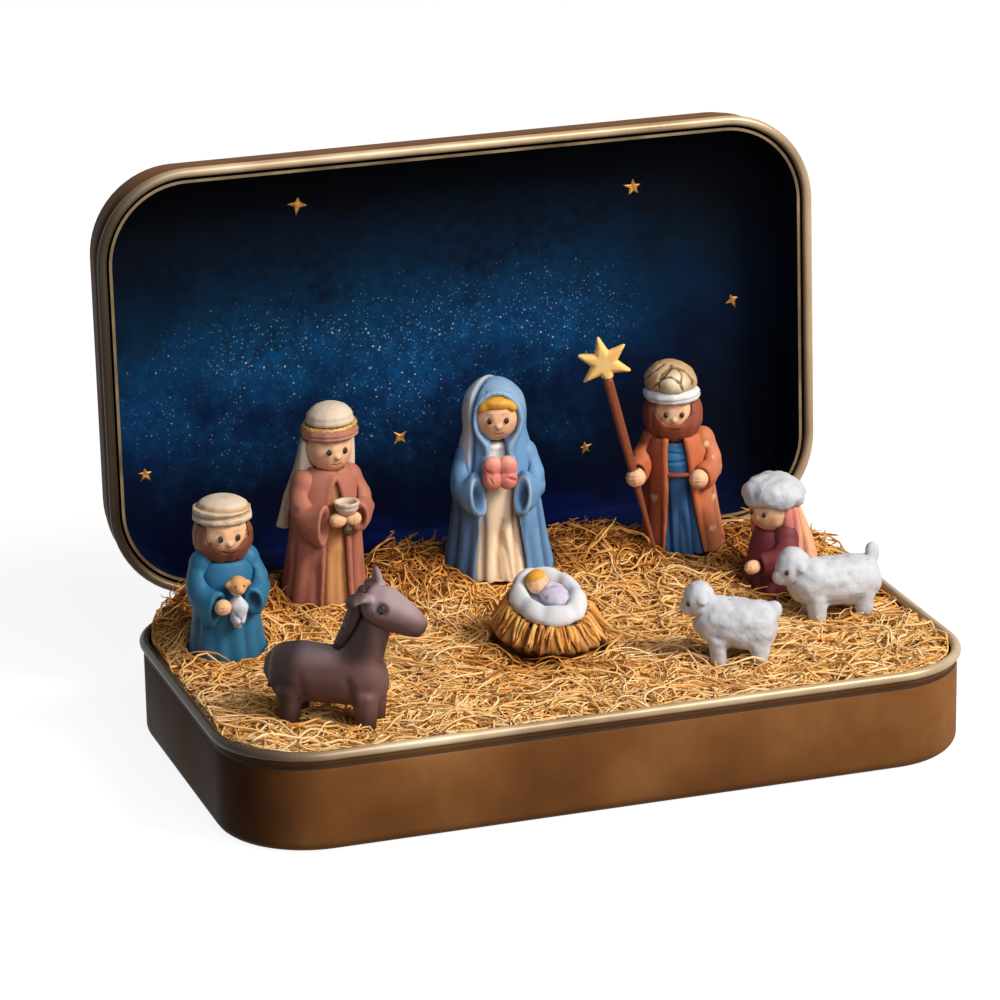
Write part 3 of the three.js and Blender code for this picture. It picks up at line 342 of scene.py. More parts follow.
@dataclass(frozen=True)
class SmoothFinish(Finish):
    """A plain finish with a fine uneven tone: gold foil, drawn wire or a glossy painted bead."""

    dark: str
    light: str
    roughness: float
    metallic: float
    grain_mm: float = 0.4

    def mixed(self) -> bpy.types.Material:
        """Builds the nodes of the material."""
        material, tree, place = blank(self.name)
        grain = add(tree, "TexNoise", {"Vector": place, "Scale": per_mm(self.grain_mm), "Detail": 3.0})
        tone = add(tree, "ValToRGB", {0: grain}, ((0.35, self.dark), (0.65, self.light)))
        low, high = self.roughness * 0.8, self.roughness * 1.25
        rough = add(tree, "MapRange", {0: grain, 1: 0.3, 2: 0.7, 3: low, 4: high})
        links = {"Base Color": tone, "Roughness": rough, "Metallic": self.metallic}
        add(tree, "OutputMaterial", {0: add(tree, "BsdfPrincipled", links)})
        return material


class Clay(Enum):
    """The figures' clays and paints, all dull and opaque. The wash gives each its own painted shade."""

    SKIN = ClayFinish("peach polymer clay", "#ecbf98", "#a8653f", accent="#dd7f68", wash_and_shade_share=0.6)
    CREAM = ClayFinish("cream polymer clay", "#d9ccbb", "#96795a", accent="#c79d62")
    WOOL = ClayFinish("white polymer clay, stippled as fleece", "#c9d0db", "#73829d", accent="#d89e58",
                      grain_mm=0.45, grain_depth_mm=0.1)
    LINEN = ClayFinish("white polymer clay, smoothed", "#dbe0e7", "#8390ad", accent="#eef1f5")
    ROBE_BLUE = ClayFinish("teal-blue polymer clay", "#286e96", "#081e2c", accent="#62a6c8")
    BROWN_HAIR = ClayFinish("russet-brown polymer clay", "#7a4730", "#381b10", accent="#a9683f")
    MAUVE = ClayFinish("dusty-mauve polymer clay", "#ae6f5c", "#4a1d14", accent="#d6a294")
    OCHRE = ClayFinish("ochre polymer clay", "#c48e5c", "#774a25", accent="#a0685f")
    MANTLE = ClayFinish("mid-blue polymer clay", "#6c9aca", "#101c3c", accent="#d2dde8")
    DRESS = ClayFinish("pale-buff polymer clay", "#fce6c8", "#b98c60", accent="#f4f1ec")
    GOLD_HAIR = ClayFinish("golden polymer clay", "#e0a43a", "#94601a", accent="#f3cd78")
    ROSE = ClayFinish("rose polymer clay", "#d9867a", "#94322e", accent="#efb9a6")
    RUST = ClayFinish("rust polymer clay", "#bf6a44", "#3c1006", accent="#f4d0a4")
    BEARD = ClayFinish("chestnut polymer clay", "#8f4c36", "#431d14", accent="#b06a4e")
    NAVY = ClayFinish("navy polymer clay", "#2d5c8e", "#081322", accent="#3580bc")
    GOLD_TURBAN = ClayFinish("gold-brushed polymer clay", "#c4a57a", "#3f2c16", accent="#f2e3c4",
                             roughness=0.42, wash_and_shade_share=1.0)
    STAFF = ClayFinish("walnut-brown polymer clay", "#84452c", "#3c1a0e", accent="#a05a38")
    STAR = ClayFinish("yellow-gold polymer clay", "#fdd080", "#b0742c", accent="#fee6ac")
    WINE = ClayFinish("wine polymer clay", "#6b2a32", "#280b10", accent="#8d4a50")
    SCARF = ClayFinish("pink-mauve polymer clay", "#dc8680", "#80323a", accent="#f8b890")
    NEST = ClayFinish("straw-gold polymer clay", "#ac7230", "#4a260a", accent="#dcac5e")
    SWADDLE = ClayFinish("lavender-blue polymer clay", "#cdc8e0", "#444c7c", accent="#ece4f0")
    # The donkey's accent colour is painted highlight on its back and head.
    DONKEY = ClayFinish("grey-brown polymer clay", "#684a48", "#1a0c09", accent="#a8949c", wash_and_shade_share=0.92)
    MANE = ClayFinish("dark-brown polymer clay", "#2e1a15", "#120806", accent="#513630")
    POUCH = ClayFinish("olive-black polymer clay", "#4a3a1c", "#15100a", accent="#b99a52")


# Lacquered sheet looks brown-gold and satin; the rim has lost its lacquer and glints silver-tan.
# Both darken towards the left end as painted shade, the rim over a longer reach.
BRONZE = TinplateFinish("bronzed tinplate", "#50301a", "#744c2a", "#966c42", roughness=0.5, metallic=0.05,
                        gloss=0.02)
WORN_RIM = TinplateFinish("bare worn tinplate", "#6e5b42", "#b29c7e", "#decfb4", roughness=0.36, metallic=0.3,
                          gloss=0.2, left_shade_share=0.92, left_shade_mm=17.0)
# The pressed line is painted nearly black as painted shade.
GROOVE_SHADE = TinplateFinish("tinplate painted dark as shade in the pressed line", "#160d07", "#2c1c10", "#4c331e", roughness=0.55,
                       metallic=0.1, gloss=0.15)
# Wire and foil are bare metal: bright edges, dark between.
STEEL_WIRE = SmoothFinish("drawn steel wire", "#8d8272", "#c9bda8", 0.34, 1.0)
GOLD_LEAF = SmoothFinish("gold leaf", "#8e5a22", "#d29a48", 0.45, 0.6, grain_mm=0.6)
GOLD_CORD = SmoothFinish("gilt cord", "#a87c3c", "#dcb872", 0.5, 0.35)
# Varnish over dark paint gives the eyes their one sharp glint.
EYE_BLACK = SmoothFinish("varnished dark-brown paint", "#150b08", "#2a1812", 0.16, 0.0)
# The edge of the card is gilt, so that it shows as a thin bright line inside the rim.
CARD_EDGE = SmoothFinish("gilt card edge", "#54442f", "#8c7857", 0.5, 0.3, grain_mm=6.0)
# Dyed strands run from burnt orange to pale gold. The orange end also serves as painted shade, low down
# and at the back, and the pale end as painted light on strands that lie high.
STRAW_STOPS = ((0.0, "#5e3412"), (0.25, "#b67630"), (0.5, "#e0a656"), (0.75, "#f0c27a"), (1.0, "#fbe2b2"))
STRAW = WoodWoolFinish("gold-dyed wood-wool", STRAW_STOPS)
STRAW_MAT_STOPS = ((0.0, "#5a3210"), (0.5, "#b67a38"), (1.0, "#dca85c"))
STRAW_MAT = WoodWoolFinish("matted wood-wool", STRAW_MAT_STOPS, roughness=0.8)


# Modelling by hand: selection, edit mode and modifiers


def only(*objects: bpy.types.Object) -> None:
    """Selects these objects alone and makes the first one active."""
    bpy.ops.object.select_all(action="DESELECT")
    for obj in objects:
        obj.select_set(True)
    bpy.context.view_layer.objects.active = objects[0]


def pick(obj: bpy.types.Object, test: Callable[[Vector], bool]) -> None:
    """Selects, in edit mode, the vertices that pass a test, with the edges and faces between them.

    Args:
        obj: Mesh object in edit mode.
        test: Takes a place in millimetres and says whether it is wanted.
    """
    bpy.ops.mesh.select_mode(type="VERT")
    bpy.ops.mesh.select_all(action="DESELECT")
    body = bmesh.from_edit_mesh(obj.data)
    for vert in body.verts:
        vert.select = test(vert.co / MM)
    body.select_flush_mode()
    bmesh.update_edit_mesh(obj.data)


def apply(obj: bpy.types.Object, kind: str, **settings) -> None:
    """Adds a modifier with its settings and applies it.

    Args:
        obj: Object that gets the modifier.
        kind: Modifier type, such as "SOLIDIFY".
        settings: Properties of the modifier.
    """
    only(obj)
    modifier = obj.modifiers.new(kind.lower(), kind)
    for name, value in settings.items():
        setattr(modifier, name, value)
    bpy.ops.object.modifier_apply(modifier=modifier.name)


def settle(obj: bpy.types.Object, name: str) -> bpy.types.Object:
    """Names a piece and puts its place, turn and size into its mesh.

    Args:
        obj: Finished mesh object.
        name: Name of the piece.

    Returns:
        The same object.
    """
    only(obj)
    bpy.ops.object.transform_apply(location=True, rotation=True, scale=True)
    obj.name = name
    obj.data.name = name
    return obj


def smooth(obj: bpy.types.Object, degrees: float = 180.0) -> None:
    """Shades a piece smooth up to an angle between faces."""
    only(obj)
    bpy.ops.object.shade_smooth_by_angle(angle=math.radians(degrees))


def fuse(objects: Sequence[bpy.types.Object]) -> bpy.types.Object:
    """Joins objects into the first one and returns it."""
    only(*objects)
    bpy.ops.object.join()
    return objects[0]


def dress(obj: bpy.types.Object, *finishes: bpy.types.Material) -> None:
    """Puts materials on a piece in order of slot."""
    obj.data.materials.clear()
    for finish in finishes:
        obj.data.materials.append(finish)


def paint(obj: bpy.types.Object, index: int, test: Callable[[Vector], bool]) -> None:
    """Gives the faces whose corners all pass a test another of the piece's materials.

    Args:
        obj: Dressed piece.
        index: Slot of the material.
        test: Takes a place in millimetres and says whether it is wanted.
    """
    only(obj)
    bpy.ops.object.mode_set(mode="EDIT")
    pick(obj, test)
    obj.active_material_index = index
    bpy.ops.object.material_slot_assign()
    bpy.ops.object.mode_set(mode="OBJECT")


def hand_over(obj: bpy.types.Object, body: str, slot: str, *nodes: str) -> None:
    """Ties a piece to its body and hides the solids that it stands for.

    Args:
        obj: Finished piece.
        body: Name of the moving body.
        slot: Material slot of the record; not used.
        nodes: Solids that the piece replaces.
    """
    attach(obj, body)
    if nodes:
        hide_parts(*nodes)
    LOG.info("%s rides on %s with %d faces", obj.name, body, len(obj.data.polygons))


def copy_of(node: str, name: str) -> bpy.types.Object:
    """Copies a solid and merges its doubled points.

    Args:
        node: Solid of the frame.
        name: Name of the copy.

    Returns:
        The copy, with its own mesh.
    """
    obj = bpy.data.objects.new(name, frame["nodes"][node].data.copy())
    obj.data.name = name
    bpy.context.scene.collection.objects.link(obj)
    only(obj)
    bpy.ops.object.mode_set(mode="EDIT")
    bpy.ops.mesh.select_all(action="SELECT")
    bpy.ops.mesh.remove_doubles(threshold=0.001 * MM)
    bpy.ops.object.mode_set(mode="OBJECT")
    return obj


def crisp_edges(obj: bpy.types.Object, degrees: float = 68.0) -> bpy.types.Object | None:
    """Copies the crisp edges of a solid, such as hems and the rim of an opening.

    Args:
        obj: Merged copy of a solid.
        degrees: Angle between faces from which an edge counts as crisp.

    Returns:
        An object of edges alone, or None where the solid has no crisp edge.
    """
    only(obj)
    bpy.ops.object.duplicate()
    edges = bpy.context.active_object
    bpy.ops.object.mode_set(mode="EDIT")
    bpy.ops.mesh.select_mode(type="EDGE")
    bpy.ops.mesh.select_all(action="DESELECT")
    bpy.ops.mesh.edges_select_sharp(sharpness=math.radians(degrees))
    bpy.ops.mesh.select_all(action="INVERT")
    bpy.ops.mesh.delete(type="EDGE_FACE")
    bpy.ops.object.mode_set(mode="OBJECT")
    if len(edges.data.edges):
        return edges
    bpy.data.meshes.remove(edges.data)
    return None


def soften(obj: bpy.types.Object, voxel_mm: float, soft_mm: float, edges: bpy.types.Object | None) -> None:
    """Gives a solid the fine, rounded skin of hand-rolled clay.

    Args:
        obj: Merged copy of a solid, with small forms pressed on.
        voxel_mm: Fineness of the skin.
        soft_mm: How far the rounding reaches.
        edges: Edges that stay crisp, which are used up, or None.
    """
    apply(obj, "REMESH", mode="VOXEL", voxel_size=voxel_mm * MM)
    apply(obj, "SMOOTH", factor=0.5, iterations=SKIN_ROUNDS)
    group = obj.vertex_groups.new(name="soft")
    group.add(range(len(obj.data.vertices)), 1.0, "REPLACE")
    if edges:
        near, far = CRISP_REACH
        apply(obj, "VERTEX_WEIGHT_PROXIMITY", vertex_group="soft", target=edges, proximity_mode="GEOMETRY",
              proximity_geometry={"EDGE"}, min_dist=near * MM, max_dist=far * MM)
        bpy.data.meshes.remove(edges.data)
    rounds = math.ceil((2 * soft_mm / voxel_mm) ** 2)
    apply(obj, "SMOOTH", factor=0.5, iterations=rounds, vertex_group="soft")
    apply(obj, "SMOOTH", factor=0.5, iterations=SKIN_ROUNDS)
    obj.vertex_groups.clear()


def strands_of(name: str, rng: np.random.Generator, spine: np.ndarray, tone: np.ndarray,
               widths: tuple[float, float]) -> bpy.types.Object:
    """Spins strands of wood-wool, each with a flat, twisted section and its own tone.

    Args:
        name: Name of the piece.
        rng: Seeded source of chance.
        spine: Middle lines of the strands in millimetres: strand, ring, axis.
        tone: Lightness of each strand, from 0 to 1, which also holds its painted light and shade.
        widths: Least and greatest half width in millimetres.

    Returns:
        The strands as one dressed piece.
    """
    count, rings, _ = spine.shape
    ahead = np.gradient(spine, axis=1)
    ahead /= np.maximum(np.linalg.norm(ahead, axis=2, keepdims=True), 1e-6)
    across = np.cross(ahead, (0.0, 0.0, 1.0))
    across /= np.maximum(np.linalg.norm(across, axis=2, keepdims=True), 1e-6)
    over = np.cross(across, ahead)
    along = np.linspace(0, 1, rings)
    # Each strand twists along its way and tapers at both ends.
    twist = rng.uniform(0, np.pi, count)[:, None] + rng.normal(0, 1.6, count)[:, None] * along
    taper = np.minimum(1.0, 0.35 + 2.6 * np.minimum(along, np.linspace(1, 0, rings)))
    width = rng.uniform(*widths, count)[:, None, None] * taper[None, :, None]
    flat = width * rng.uniform(0.35, 0.8, count)[:, None, None]
    cos, sin = np.cos(twist)[..., None], np.sin(twist)[..., None]
    wide = (across * cos + over * sin) * width
    thin = (over * cos - across * sin) * flat
    corners = np.stack([spine + wide, spine + thin, spine - wide, spine - thin], axis=2)
    # Four corners to a ring, quads between the rings and a cap at each end.
    first = (np.arange(count) * rings * 4)[:, None, None]
    ring = (np.arange(rings - 1) * 4)[None, :, None]
    side = np.arange(4)[None, None, :]
    a, b = first + ring + side, first + ring + (side + 1) % 4
    quads = np.stack([a, a + 4, b + 4, b], axis=-1).reshape(-1, 4)
    ends = np.concatenate([first[:, 0] + np.arange(4), first[:, 0] + (rings - 1) * 4 + np.arange(4)[::-1]])
    mesh = bpy.data.meshes.new(name)
    mesh.from_pydata((corners.reshape(-1, 3) * MM).tolist(), [], np.concatenate([quads, ends]).tolist())
    layer = mesh.attributes.new("tone", "FLOAT", "POINT")
    layer.data.foreach_set("value", np.repeat(np.clip(tone, 0, 1), rings * 4).astype(np.float32))
    mesh.update()
    straw = bpy.data.objects.new(name, mesh)
    bpy.context.scene.collection.objects.link(straw)
    smooth(straw)
    dress(straw, STRAW.material())
    return straw


# Clay work: where a figure stands, and the touches of tool and brush


@dataclass(frozen=True)
class Place:
    """Where a figure stands, in millimetres, and its turn about Z in degrees."""

    x: float
    y: float
    z: float
    turn: float = 0.0

    def matrix(self) -> Matrix:
        """Returns the move from the figure's own metres to the tin's frame."""
        spot = Matrix.Translation(Vector((self.x, self.y, self.z)) * MM)
        return spot @ Matrix.Rotation(math.radians(self.turn), 4, "Z")

    def to_own(self, places: np.ndarray) -> np.ndarray:
        """Turns places in the tin's metres to the figure's own millimetres."""
        back = np.array(self.matrix().inverted())
        return (places @ back[:3, :3].T + back[:3, 3]) / MM


def ease(values: np.ndarray) -> np.ndarray:
    """Maps 0 to 1 smoothly and clamps what lies outside."""
    clipped = np.clip(values, 0.0, 1.0)
    return clipped * clipped * (3 - 2 * clipped)


@dataclass(frozen=True, kw_only=True)
class Touch:
    """One touch of a tool or brush on soft clay.

    Depth is in millimetres and presses in, or raises where it is negative. Wash and accent are
    shares of the wash and accent colours. The wash darkens tooled lines and is also painted shade;
    the accent is paint, and on some touches painted highlight.
    """

    depth: float = 0.0
    wash_and_shade: float = 0.0
    accent: float = 0.0

    def share(self, places: np.ndarray) -> np.ndarray:
        """Says how much of the touch each place gets, from 0 to 1."""
        raise NotImplementedError


@dataclass(frozen=True)
class Line(Touch):
    """A line drawn with a needle through points in the figure's own millimetres."""

    points: Sequence[Point]
    width: float

    def share(self, places: np.ndarray) -> np.ndarray:
        """Falls off with the distance from the line."""
        best = np.full(len(places), np.inf)
        for start, end in zip(self.points, self.points[1:]):
            first = np.array(start)
            step = np.array(end) - first
            along = np.clip((places - first) @ step / (step @ step), 0, 1)
            best = np.minimum(best, np.linalg.norm(places - first - along[:, None] * step, axis=1))
        return np.exp(-((best / self.width) ** 2))


@dataclass(frozen=True)
class Fold(Touch):
    """An upright fold at an angle round the figure, in degrees, which drifts sideways on its way up."""

    angle: float
    low: float
    high: float
    width: float
    drift: float = 0.0
    centre: tuple[float, float] = (0.0, 0.0)
    lean: float = 0.0
    fade_top: float = 0.4
    fade_foot: float = 0.12
    core: float = 1.6

    def share(self, places: np.ndarray) -> np.ndarray:
        """Falls off sideways and fades out at the upper end and near the figure's axis."""
        x = places[:, 0] - self.centre[0] - self.lean * places[:, 2]
        y = places[:, 1] - self.centre[1]
        rise = (places[:, 2] - self.low) / (self.high - self.low)
        target = math.radians(self.angle) + math.radians(self.drift) * rise
        aside = np.angle(np.exp(1j * (np.arctan2(y, x) - target)))
        radius = np.hypot(x, y)
        across = radius * aside / self.width
        fade = ease((1 - rise) / self.fade_top) * ease(rise / self.fade_foot + 1) * ease(radius / self.core)
        return np.exp(-across * across) * fade


@dataclass(frozen=True)
class Ring(Touch):
    """A line round the figure at a height, which may tilt."""

    height: float
    width: float
    tilt: tuple[float, float] = (0.0, 0.0)

    def share(self, places: np.ndarray) -> np.ndarray:
        """Falls off with the height above or below the line."""
        level = self.height + places[:, 0] * self.tilt[0] + places[:, 1] * self.tilt[1]
        return np.exp(-(((places[:, 2] - level) / self.width) ** 2))


@dataclass(frozen=True)
class Band(Touch):
    """Everything between two heights."""

    low: float
    high: float
    soft: float = 0.15

    def share(self, places: np.ndarray) -> np.ndarray:
        """Is 1 between the heights and fades over the soft edge."""
        level = places[:, 2]
        return ease((level - self.low) / self.soft) * ease((self.high - level) / self.soft)


@dataclass(frozen=True)
class Spot(Touch):
    """A round or oval patch with a soft edge."""

    centre: Point
    radii: Point
    soft: float = 0.6

    def share(self, places: np.ndarray) -> np.ndarray:
        """Is 1 in the middle and fades to the edge."""
        reach = np.linalg.norm((places - np.array(self.centre)) / np.array(self.radii), axis=1)
        return ease((1 - reach) / self.soft)


@dataclass(frozen=True)
class Hoop(Spot):
    """The outline of an oval patch, such as the edge of a cuff."""

    def share(self, places: np.ndarray) -> np.ndarray:
        """Is 1 on the outline and fades to both sides of it."""
        reach = np.linalg.norm((places - np.array(self.centre)) / np.array(self.radii), axis=1)
        return np.exp(-(((reach - 1) / self.soft) ** 2))


@dataclass(frozen=True)
class Side(Touch):
    """Everything on one side of a plane."""

    facing: Point
    offset: float
    soft: float = 0.4

    def share(self, places: np.ndarray) -> np.ndarray:
        """Is 1 beyond the plane and fades before it."""
        return ease((places @ np.array(self.facing) - self.offset) / self.soft)


@dataclass(frozen=True)
class Seam(Side):
    """The line where a plane cuts the skin, such as the edge of an upper layer of cloth."""

    def share(self, places: np.ndarray) -> np.ndarray:
        """Falls off to both sides of the plane."""
        return np.exp(-(((places @ np.array(self.facing) - self.offset) / self.soft) ** 2))


@dataclass(frozen=True)
class Both(Touch):
    """Where two touches meet."""

    first: Touch
    second: Touch

    def share(self, places: np.ndarray) -> np.ndarray:
        """Is the product of the two shares."""
        return self.first.share(places) * self.second.share(places)


def folds(angles: Sequence[float], high: float, width: float, depth: float, drift: float = 4.0,
          wash_and_shade: float = 0.45, **more) -> list[Fold]:
    """Lays upright folds round a garment, from the hem up.

    Args:
        angles: Places of the folds in degrees.
        high: Height where they run out.
        width: Half width of each fold in millimetres.
        depth: Depth of each fold in millimetres.
        drift: Sideways drift in degrees, in turn to the left and right.
        wash_and_shade: Share of the wash in each fold, painted shade in its crease.
        more: Other fields of a fold.

    Returns:
        The folds, each a little different from the next.
    """
    laid = []
    for i, angle in enumerate(angles):
        share = 0.75 + 0.25 * math.sin(2.4 * i + 1)
        side = 1 if i % 2 else -1
        laid.append(Fold(angle, 0.0, high * share, width * (1.3 - 0.4 * share),
                         depth=depth * share, wash_and_shade=wash_and_shade * share, drift=side * drift, **more))
    return laid


def skin_of(mesh: bpy.types.Mesh) -> tuple[np.ndarray, np.ndarray]:
    """Returns the places and normals of a mesh's points as rows."""
    spots = np.empty(len(mesh.vertices) * 3, np.float32)
    outward = np.empty_like(spots)
    mesh.vertices.foreach_get("co", spots)
    mesh.vertices.foreach_get("normal", outward)
    return spots.reshape(-1, 3).astype(float), outward.reshape(-1, 3).astype(float)


def hollows(mesh: bpy.types.Mesh, rounds: int = 16) -> np.ndarray:
    """Measures how deep each point lies below its smoothed surroundings.

    Args:
        mesh: Finely meshed piece.
        rounds: How far the surroundings reach, in steps from point to point.

    Returns:
        Depth in millimetres, above 0 in creases and below 0 on ridges.
    """
    count = len(mesh.vertices)
    ends = np.empty(len(mesh.edges) * 2, np.int32)
    mesh.edges.foreach_get("vertices", ends)
    first, second = ends.reshape(-1, 2).T
    near = np.maximum(np.bincount(ends, minlength=count), 1)
    spots, outward = skin_of(mesh)
    level = spots.copy()
    for _ in range(rounds):
        level = np.stack([
            np.bincount(first, axis[second], count) + np.bincount(second, axis[first], count)
            for axis in level.T
        ], axis=1) / near[:, None]
    return ((level - spots) * outward).sum(axis=1) / MM


def tool(obj: bpy.types.Object, place: Place, touches: Sequence[Touch], hollow_shade: float = 0.75) -> None:
    """Works touches into a clay piece: moves its skin, stores the paint and painted shade as attributes.

    Args:
        obj: Finely meshed clay piece.
        place: Where its figure stands.
        touches: The touches, in any order.
        hollow_shade: Share of the wash colour painted into hollows by their depth, as painted shade.
    """
    mesh = obj.data
    spots, outward = skin_of(mesh)
    own = place.to_own(spots)
    depth = np.zeros(len(own))
    shares = {"wash_and_shade": np.zeros(len(own)), "accent": np.zeros(len(own))}
    for touch in touches:
        share = touch.share(own)
        depth += touch.depth * share
        shares["wash_and_shade"] = np.maximum(shares["wash_and_shade"], touch.wash_and_shade * share)
        shares["accent"] = np.maximum(shares["accent"], touch.accent * share)
    moved = spots - outward * (depth * MM)[:, None]
    mesh.vertices.foreach_set("co", moved.astype(np.float32).ravel())
    mesh.update()
    # Painted shade: hollows are darkened towards the wash colour by their depth.
    shares["wash_and_shade"] = np.maximum(shares["wash_and_shade"], hollow_shade * ease(hollows(mesh) / FULL_HOLLOW_SHADE))
    for name, values in shares.items():
        layer = mesh.attributes.new(name, "FLOAT", "POINT")
        layer.data.foreach_set("value", values.astype(np.float32))


def fleece(obj: bpy.types.Object, height_mm: float) -> None:
    """Raises soft lumps and fine curls of fleece on a clay piece.

    Args:
        obj: Finely meshed piece.
        height_mm: Height of the lumps.
    """
    for name, size_mm, share in (("fleece lumps", 2.4, 1.0), ("fleece curls", 0.9, 0.16)):
        pattern = bpy.data.textures.get(name) or bpy.data.textures.new(name, "CLOUDS")
        pattern.noise_scale = size_mm * MM
        pattern.noise_depth = 1
        apply(obj, "DISPLACE", texture=pattern, texture_coords="LOCAL", strength=height_mm * share * 2 * MM,
              mid_level=0.5)


@dataclass(frozen=True)
class Head:
    """A round head in the figure's own millimetres. Before its turns, it looks along -Y."""

    centre: Point
    radii: Point
    turns: Point = (0.0, 0.0, 0.0)

    def at(self, aside: float, up: float, lift: float = 0.0) -> Point:
        """Finds a place on the face.

        Args:
            aside: Degrees to the figure's left in the view from the front.
            up: Degrees above the middle.
            lift: Millimetres outside the skin.

        Returns:
            The place in the figure's own millimetres.
        """
        turn, rise = math.radians(aside), math.radians(up)
        way = Vector((math.sin(turn) * math.cos(rise), -math.cos(turn) * math.cos(rise), math.sin(rise)))
        way.rotate(Euler(tuple(map(math.radians, self.turns))))
        return tuple(c + w * (r + lift) for c, w, r in zip(self.centre, way, self.radii))

    def arc(self, *places: tuple[float, float]) -> list[Point]:
        """Returns a short curve on the face through places in degrees."""
        return [self.at(*place) for place in places]


@dataclass
class ClayFigure:
    """A loose clay figure: its body in the record, where it stands, its foot and how finely it is worked.

    The foot is the half width and half depth that press into the straw, where they are broad.
    """

    body: str
    place: Place
    foot: tuple[float, float] | None = None
    voxel_mm: float = 0.185
    soft_mm: float = 0.85
    swell_mm: float = 0.14

    def footprint(self) -> tuple[float, ...]:
        """Returns where the foot presses the straw: x, y, half width, half depth and turn in degrees."""
        return self.place.x, self.place.y, *self.foot, self.place.turn

    def clay(self, node: str, finish: Clay, touches: Sequence[Touch] = (),
             added: Sequence[bpy.types.Object] = (), wool_mm: float = 0.0, voxel_mm: float | None = None,
             soft_mm: float | None = None, swell_mm: float | None = None, crisp: bool = True,
             cutter: bpy.types.Object | None = None) -> None:
        """Models one clay piece over its solid: softened, swollen against its neighbours and tooled.

        Args:
            node: Solid that the piece stands for.
            finish: Clay that it is made of.
            touches: Tool and brush work.
            added: Small forms that are pressed on before the skin is smoothed.
            wool_mm: Height of fleece lumps, or 0 for smooth clay.
            voxel_mm: Fineness, where it differs from the figure's.
            soft_mm: Reach of the rounding, where it differs from the figure's.
            swell_mm: Swelling, where it differs from the figure's.
            crisp: Whether the hems and openings keep their edges.
            cutter: Lump whose shape is cut out first, as for a face, or None.
        """
        obj = copy_of(node, f"{node}_clay")
        edges = crisp_edges(obj) if crisp else None
        if added:
            fuse([obj, *added])
        if cutter:
            apply(obj, "BOOLEAN", operation="DIFFERENCE", object=cutter, solver="EXACT")
            bpy.data.meshes.remove(cutter.data)
        soften(obj, voxel_mm or self.voxel_mm, self.soft_mm if soft_mm is None else soft_mm, edges)
        swell = self.swell_mm if swell_mm is None else swell_mm
        apply(obj, "DISPLACE", strength=swell * MM, mid_level=0.0)
        if wool_mm:
            fleece(obj, wool_mm)
        tool(obj, self.place, touches)
        smooth(obj)
        dress(obj, finish.value.material())
        slot = next(part["material_slot"] for part in frame["record"]["subparts"] if part["node"] == node)
        hand_over(obj, self.body, slot, node)

    def sleeve(self, node: str, finish: Clay, shoulder: Point, elbow: Point, cuff: Point, droop: float,
               hem: float = 0.3, touches: Sequence[Touch] = ()) -> None:
        """Models a wide sleeve with a rounded shoulder, creases at the elbow and a hollow, hemmed cuff.

        Args:
            node: Solid of the sleeve.
            finish: Clay that it is made of.
            shoulder: Shoulder in the figure's own millimetres.
            elbow: Elbow in the figure's own millimetres.
            cuff: Wrist in the figure's own millimetres.
            droop: How far the cuff hangs.
            hem: Share of the accent paint on the edge of the cuff.
            touches: Further touches on the sleeve.
        """
        side = 1 if elbow[0] > 0 else -1
        x, y, z = cuff[0], cuff[1] - 0.35, cuff[2] - droop * 0.4
        radii = (1.15, 1.2, 1.3 + droop * 0.45)
        work = [
            # Painted shade inside the hollow cuff.
            Spot((x - side * 0.2, y - 0.5, z), radii, depth=0.6, wash_and_shade=1.0, soft=0.4),
            Hoop((x - side * 0.2, y - 0.5, z), tuple(r * 1.18 for r in radii), depth=-0.1,
                 accent=hem, soft=0.09),
        ]
        # Three creases fan out round the elbow.
        for rise, reach in ((0.9, 1.5), (-0.2, 1.9), (-1.1, 1.6)):
            inside = (elbow[0] - side * 0.6, elbow[1] - 1.5, elbow[2] + rise * 0.5)
            outside = (elbow[0] + side * 1.5, elbow[1] - 0.2, elbow[2] + rise * reach * 0.8)
            work.append(Line([inside, outside], 0.45, depth=0.17, wash_and_shade=0.3))
        cap = self.pat((shoulder[0] - side * 0.5, shoulder[1] + 0.3, shoulder[2] + 0.7), (1.7, 1.8, 2.0))
        self.clay(node, finish, [*work, *touches], [cap], soft_mm=0.45, crisp=False)

    def roll(self, points: Sequence[Point], thickness: float) -> bpy.types.Object:
        """Rolls a thin string of clay along a curve, such as the turned hem of a coat.

        Args:
            points: Points of the curve in the figure's own millimetres.
            thickness: Radius of the string.

        Returns:
            The string, not yet dressed.
        """
        bpy.ops.object.select_all(action="DESELECT")
        bpy.ops.curve.primitive_nurbs_path_add(radius=MM)
        string = bpy.context.active_object
        line = string.data.splines[0]
        line.points.add(len(points) - len(line.points))
        for spot, point in zip(line.points, points):
            spot.co = (*(Vector(point) * MM), 1.0)
        line.use_endpoint_u = True
        string.data.bevel_depth = thickness * MM
        string.data.use_fill_caps = True
        bpy.ops.object.convert(target="MESH")
        string = bpy.context.active_object
        string.data.transform(self.place.matrix())
        return string

    def hems(self, edge: Sequence[Point], lean: float, thickness: float) -> list[bpy.types.Object]:
        """Rolls the two front hems of an open coat, from points of the left one, for a leaning figure."""
        return [self.roll([(side * x + lean * z, y, z) for x, y, z in edge], thickness) for side in (-1, 1)]

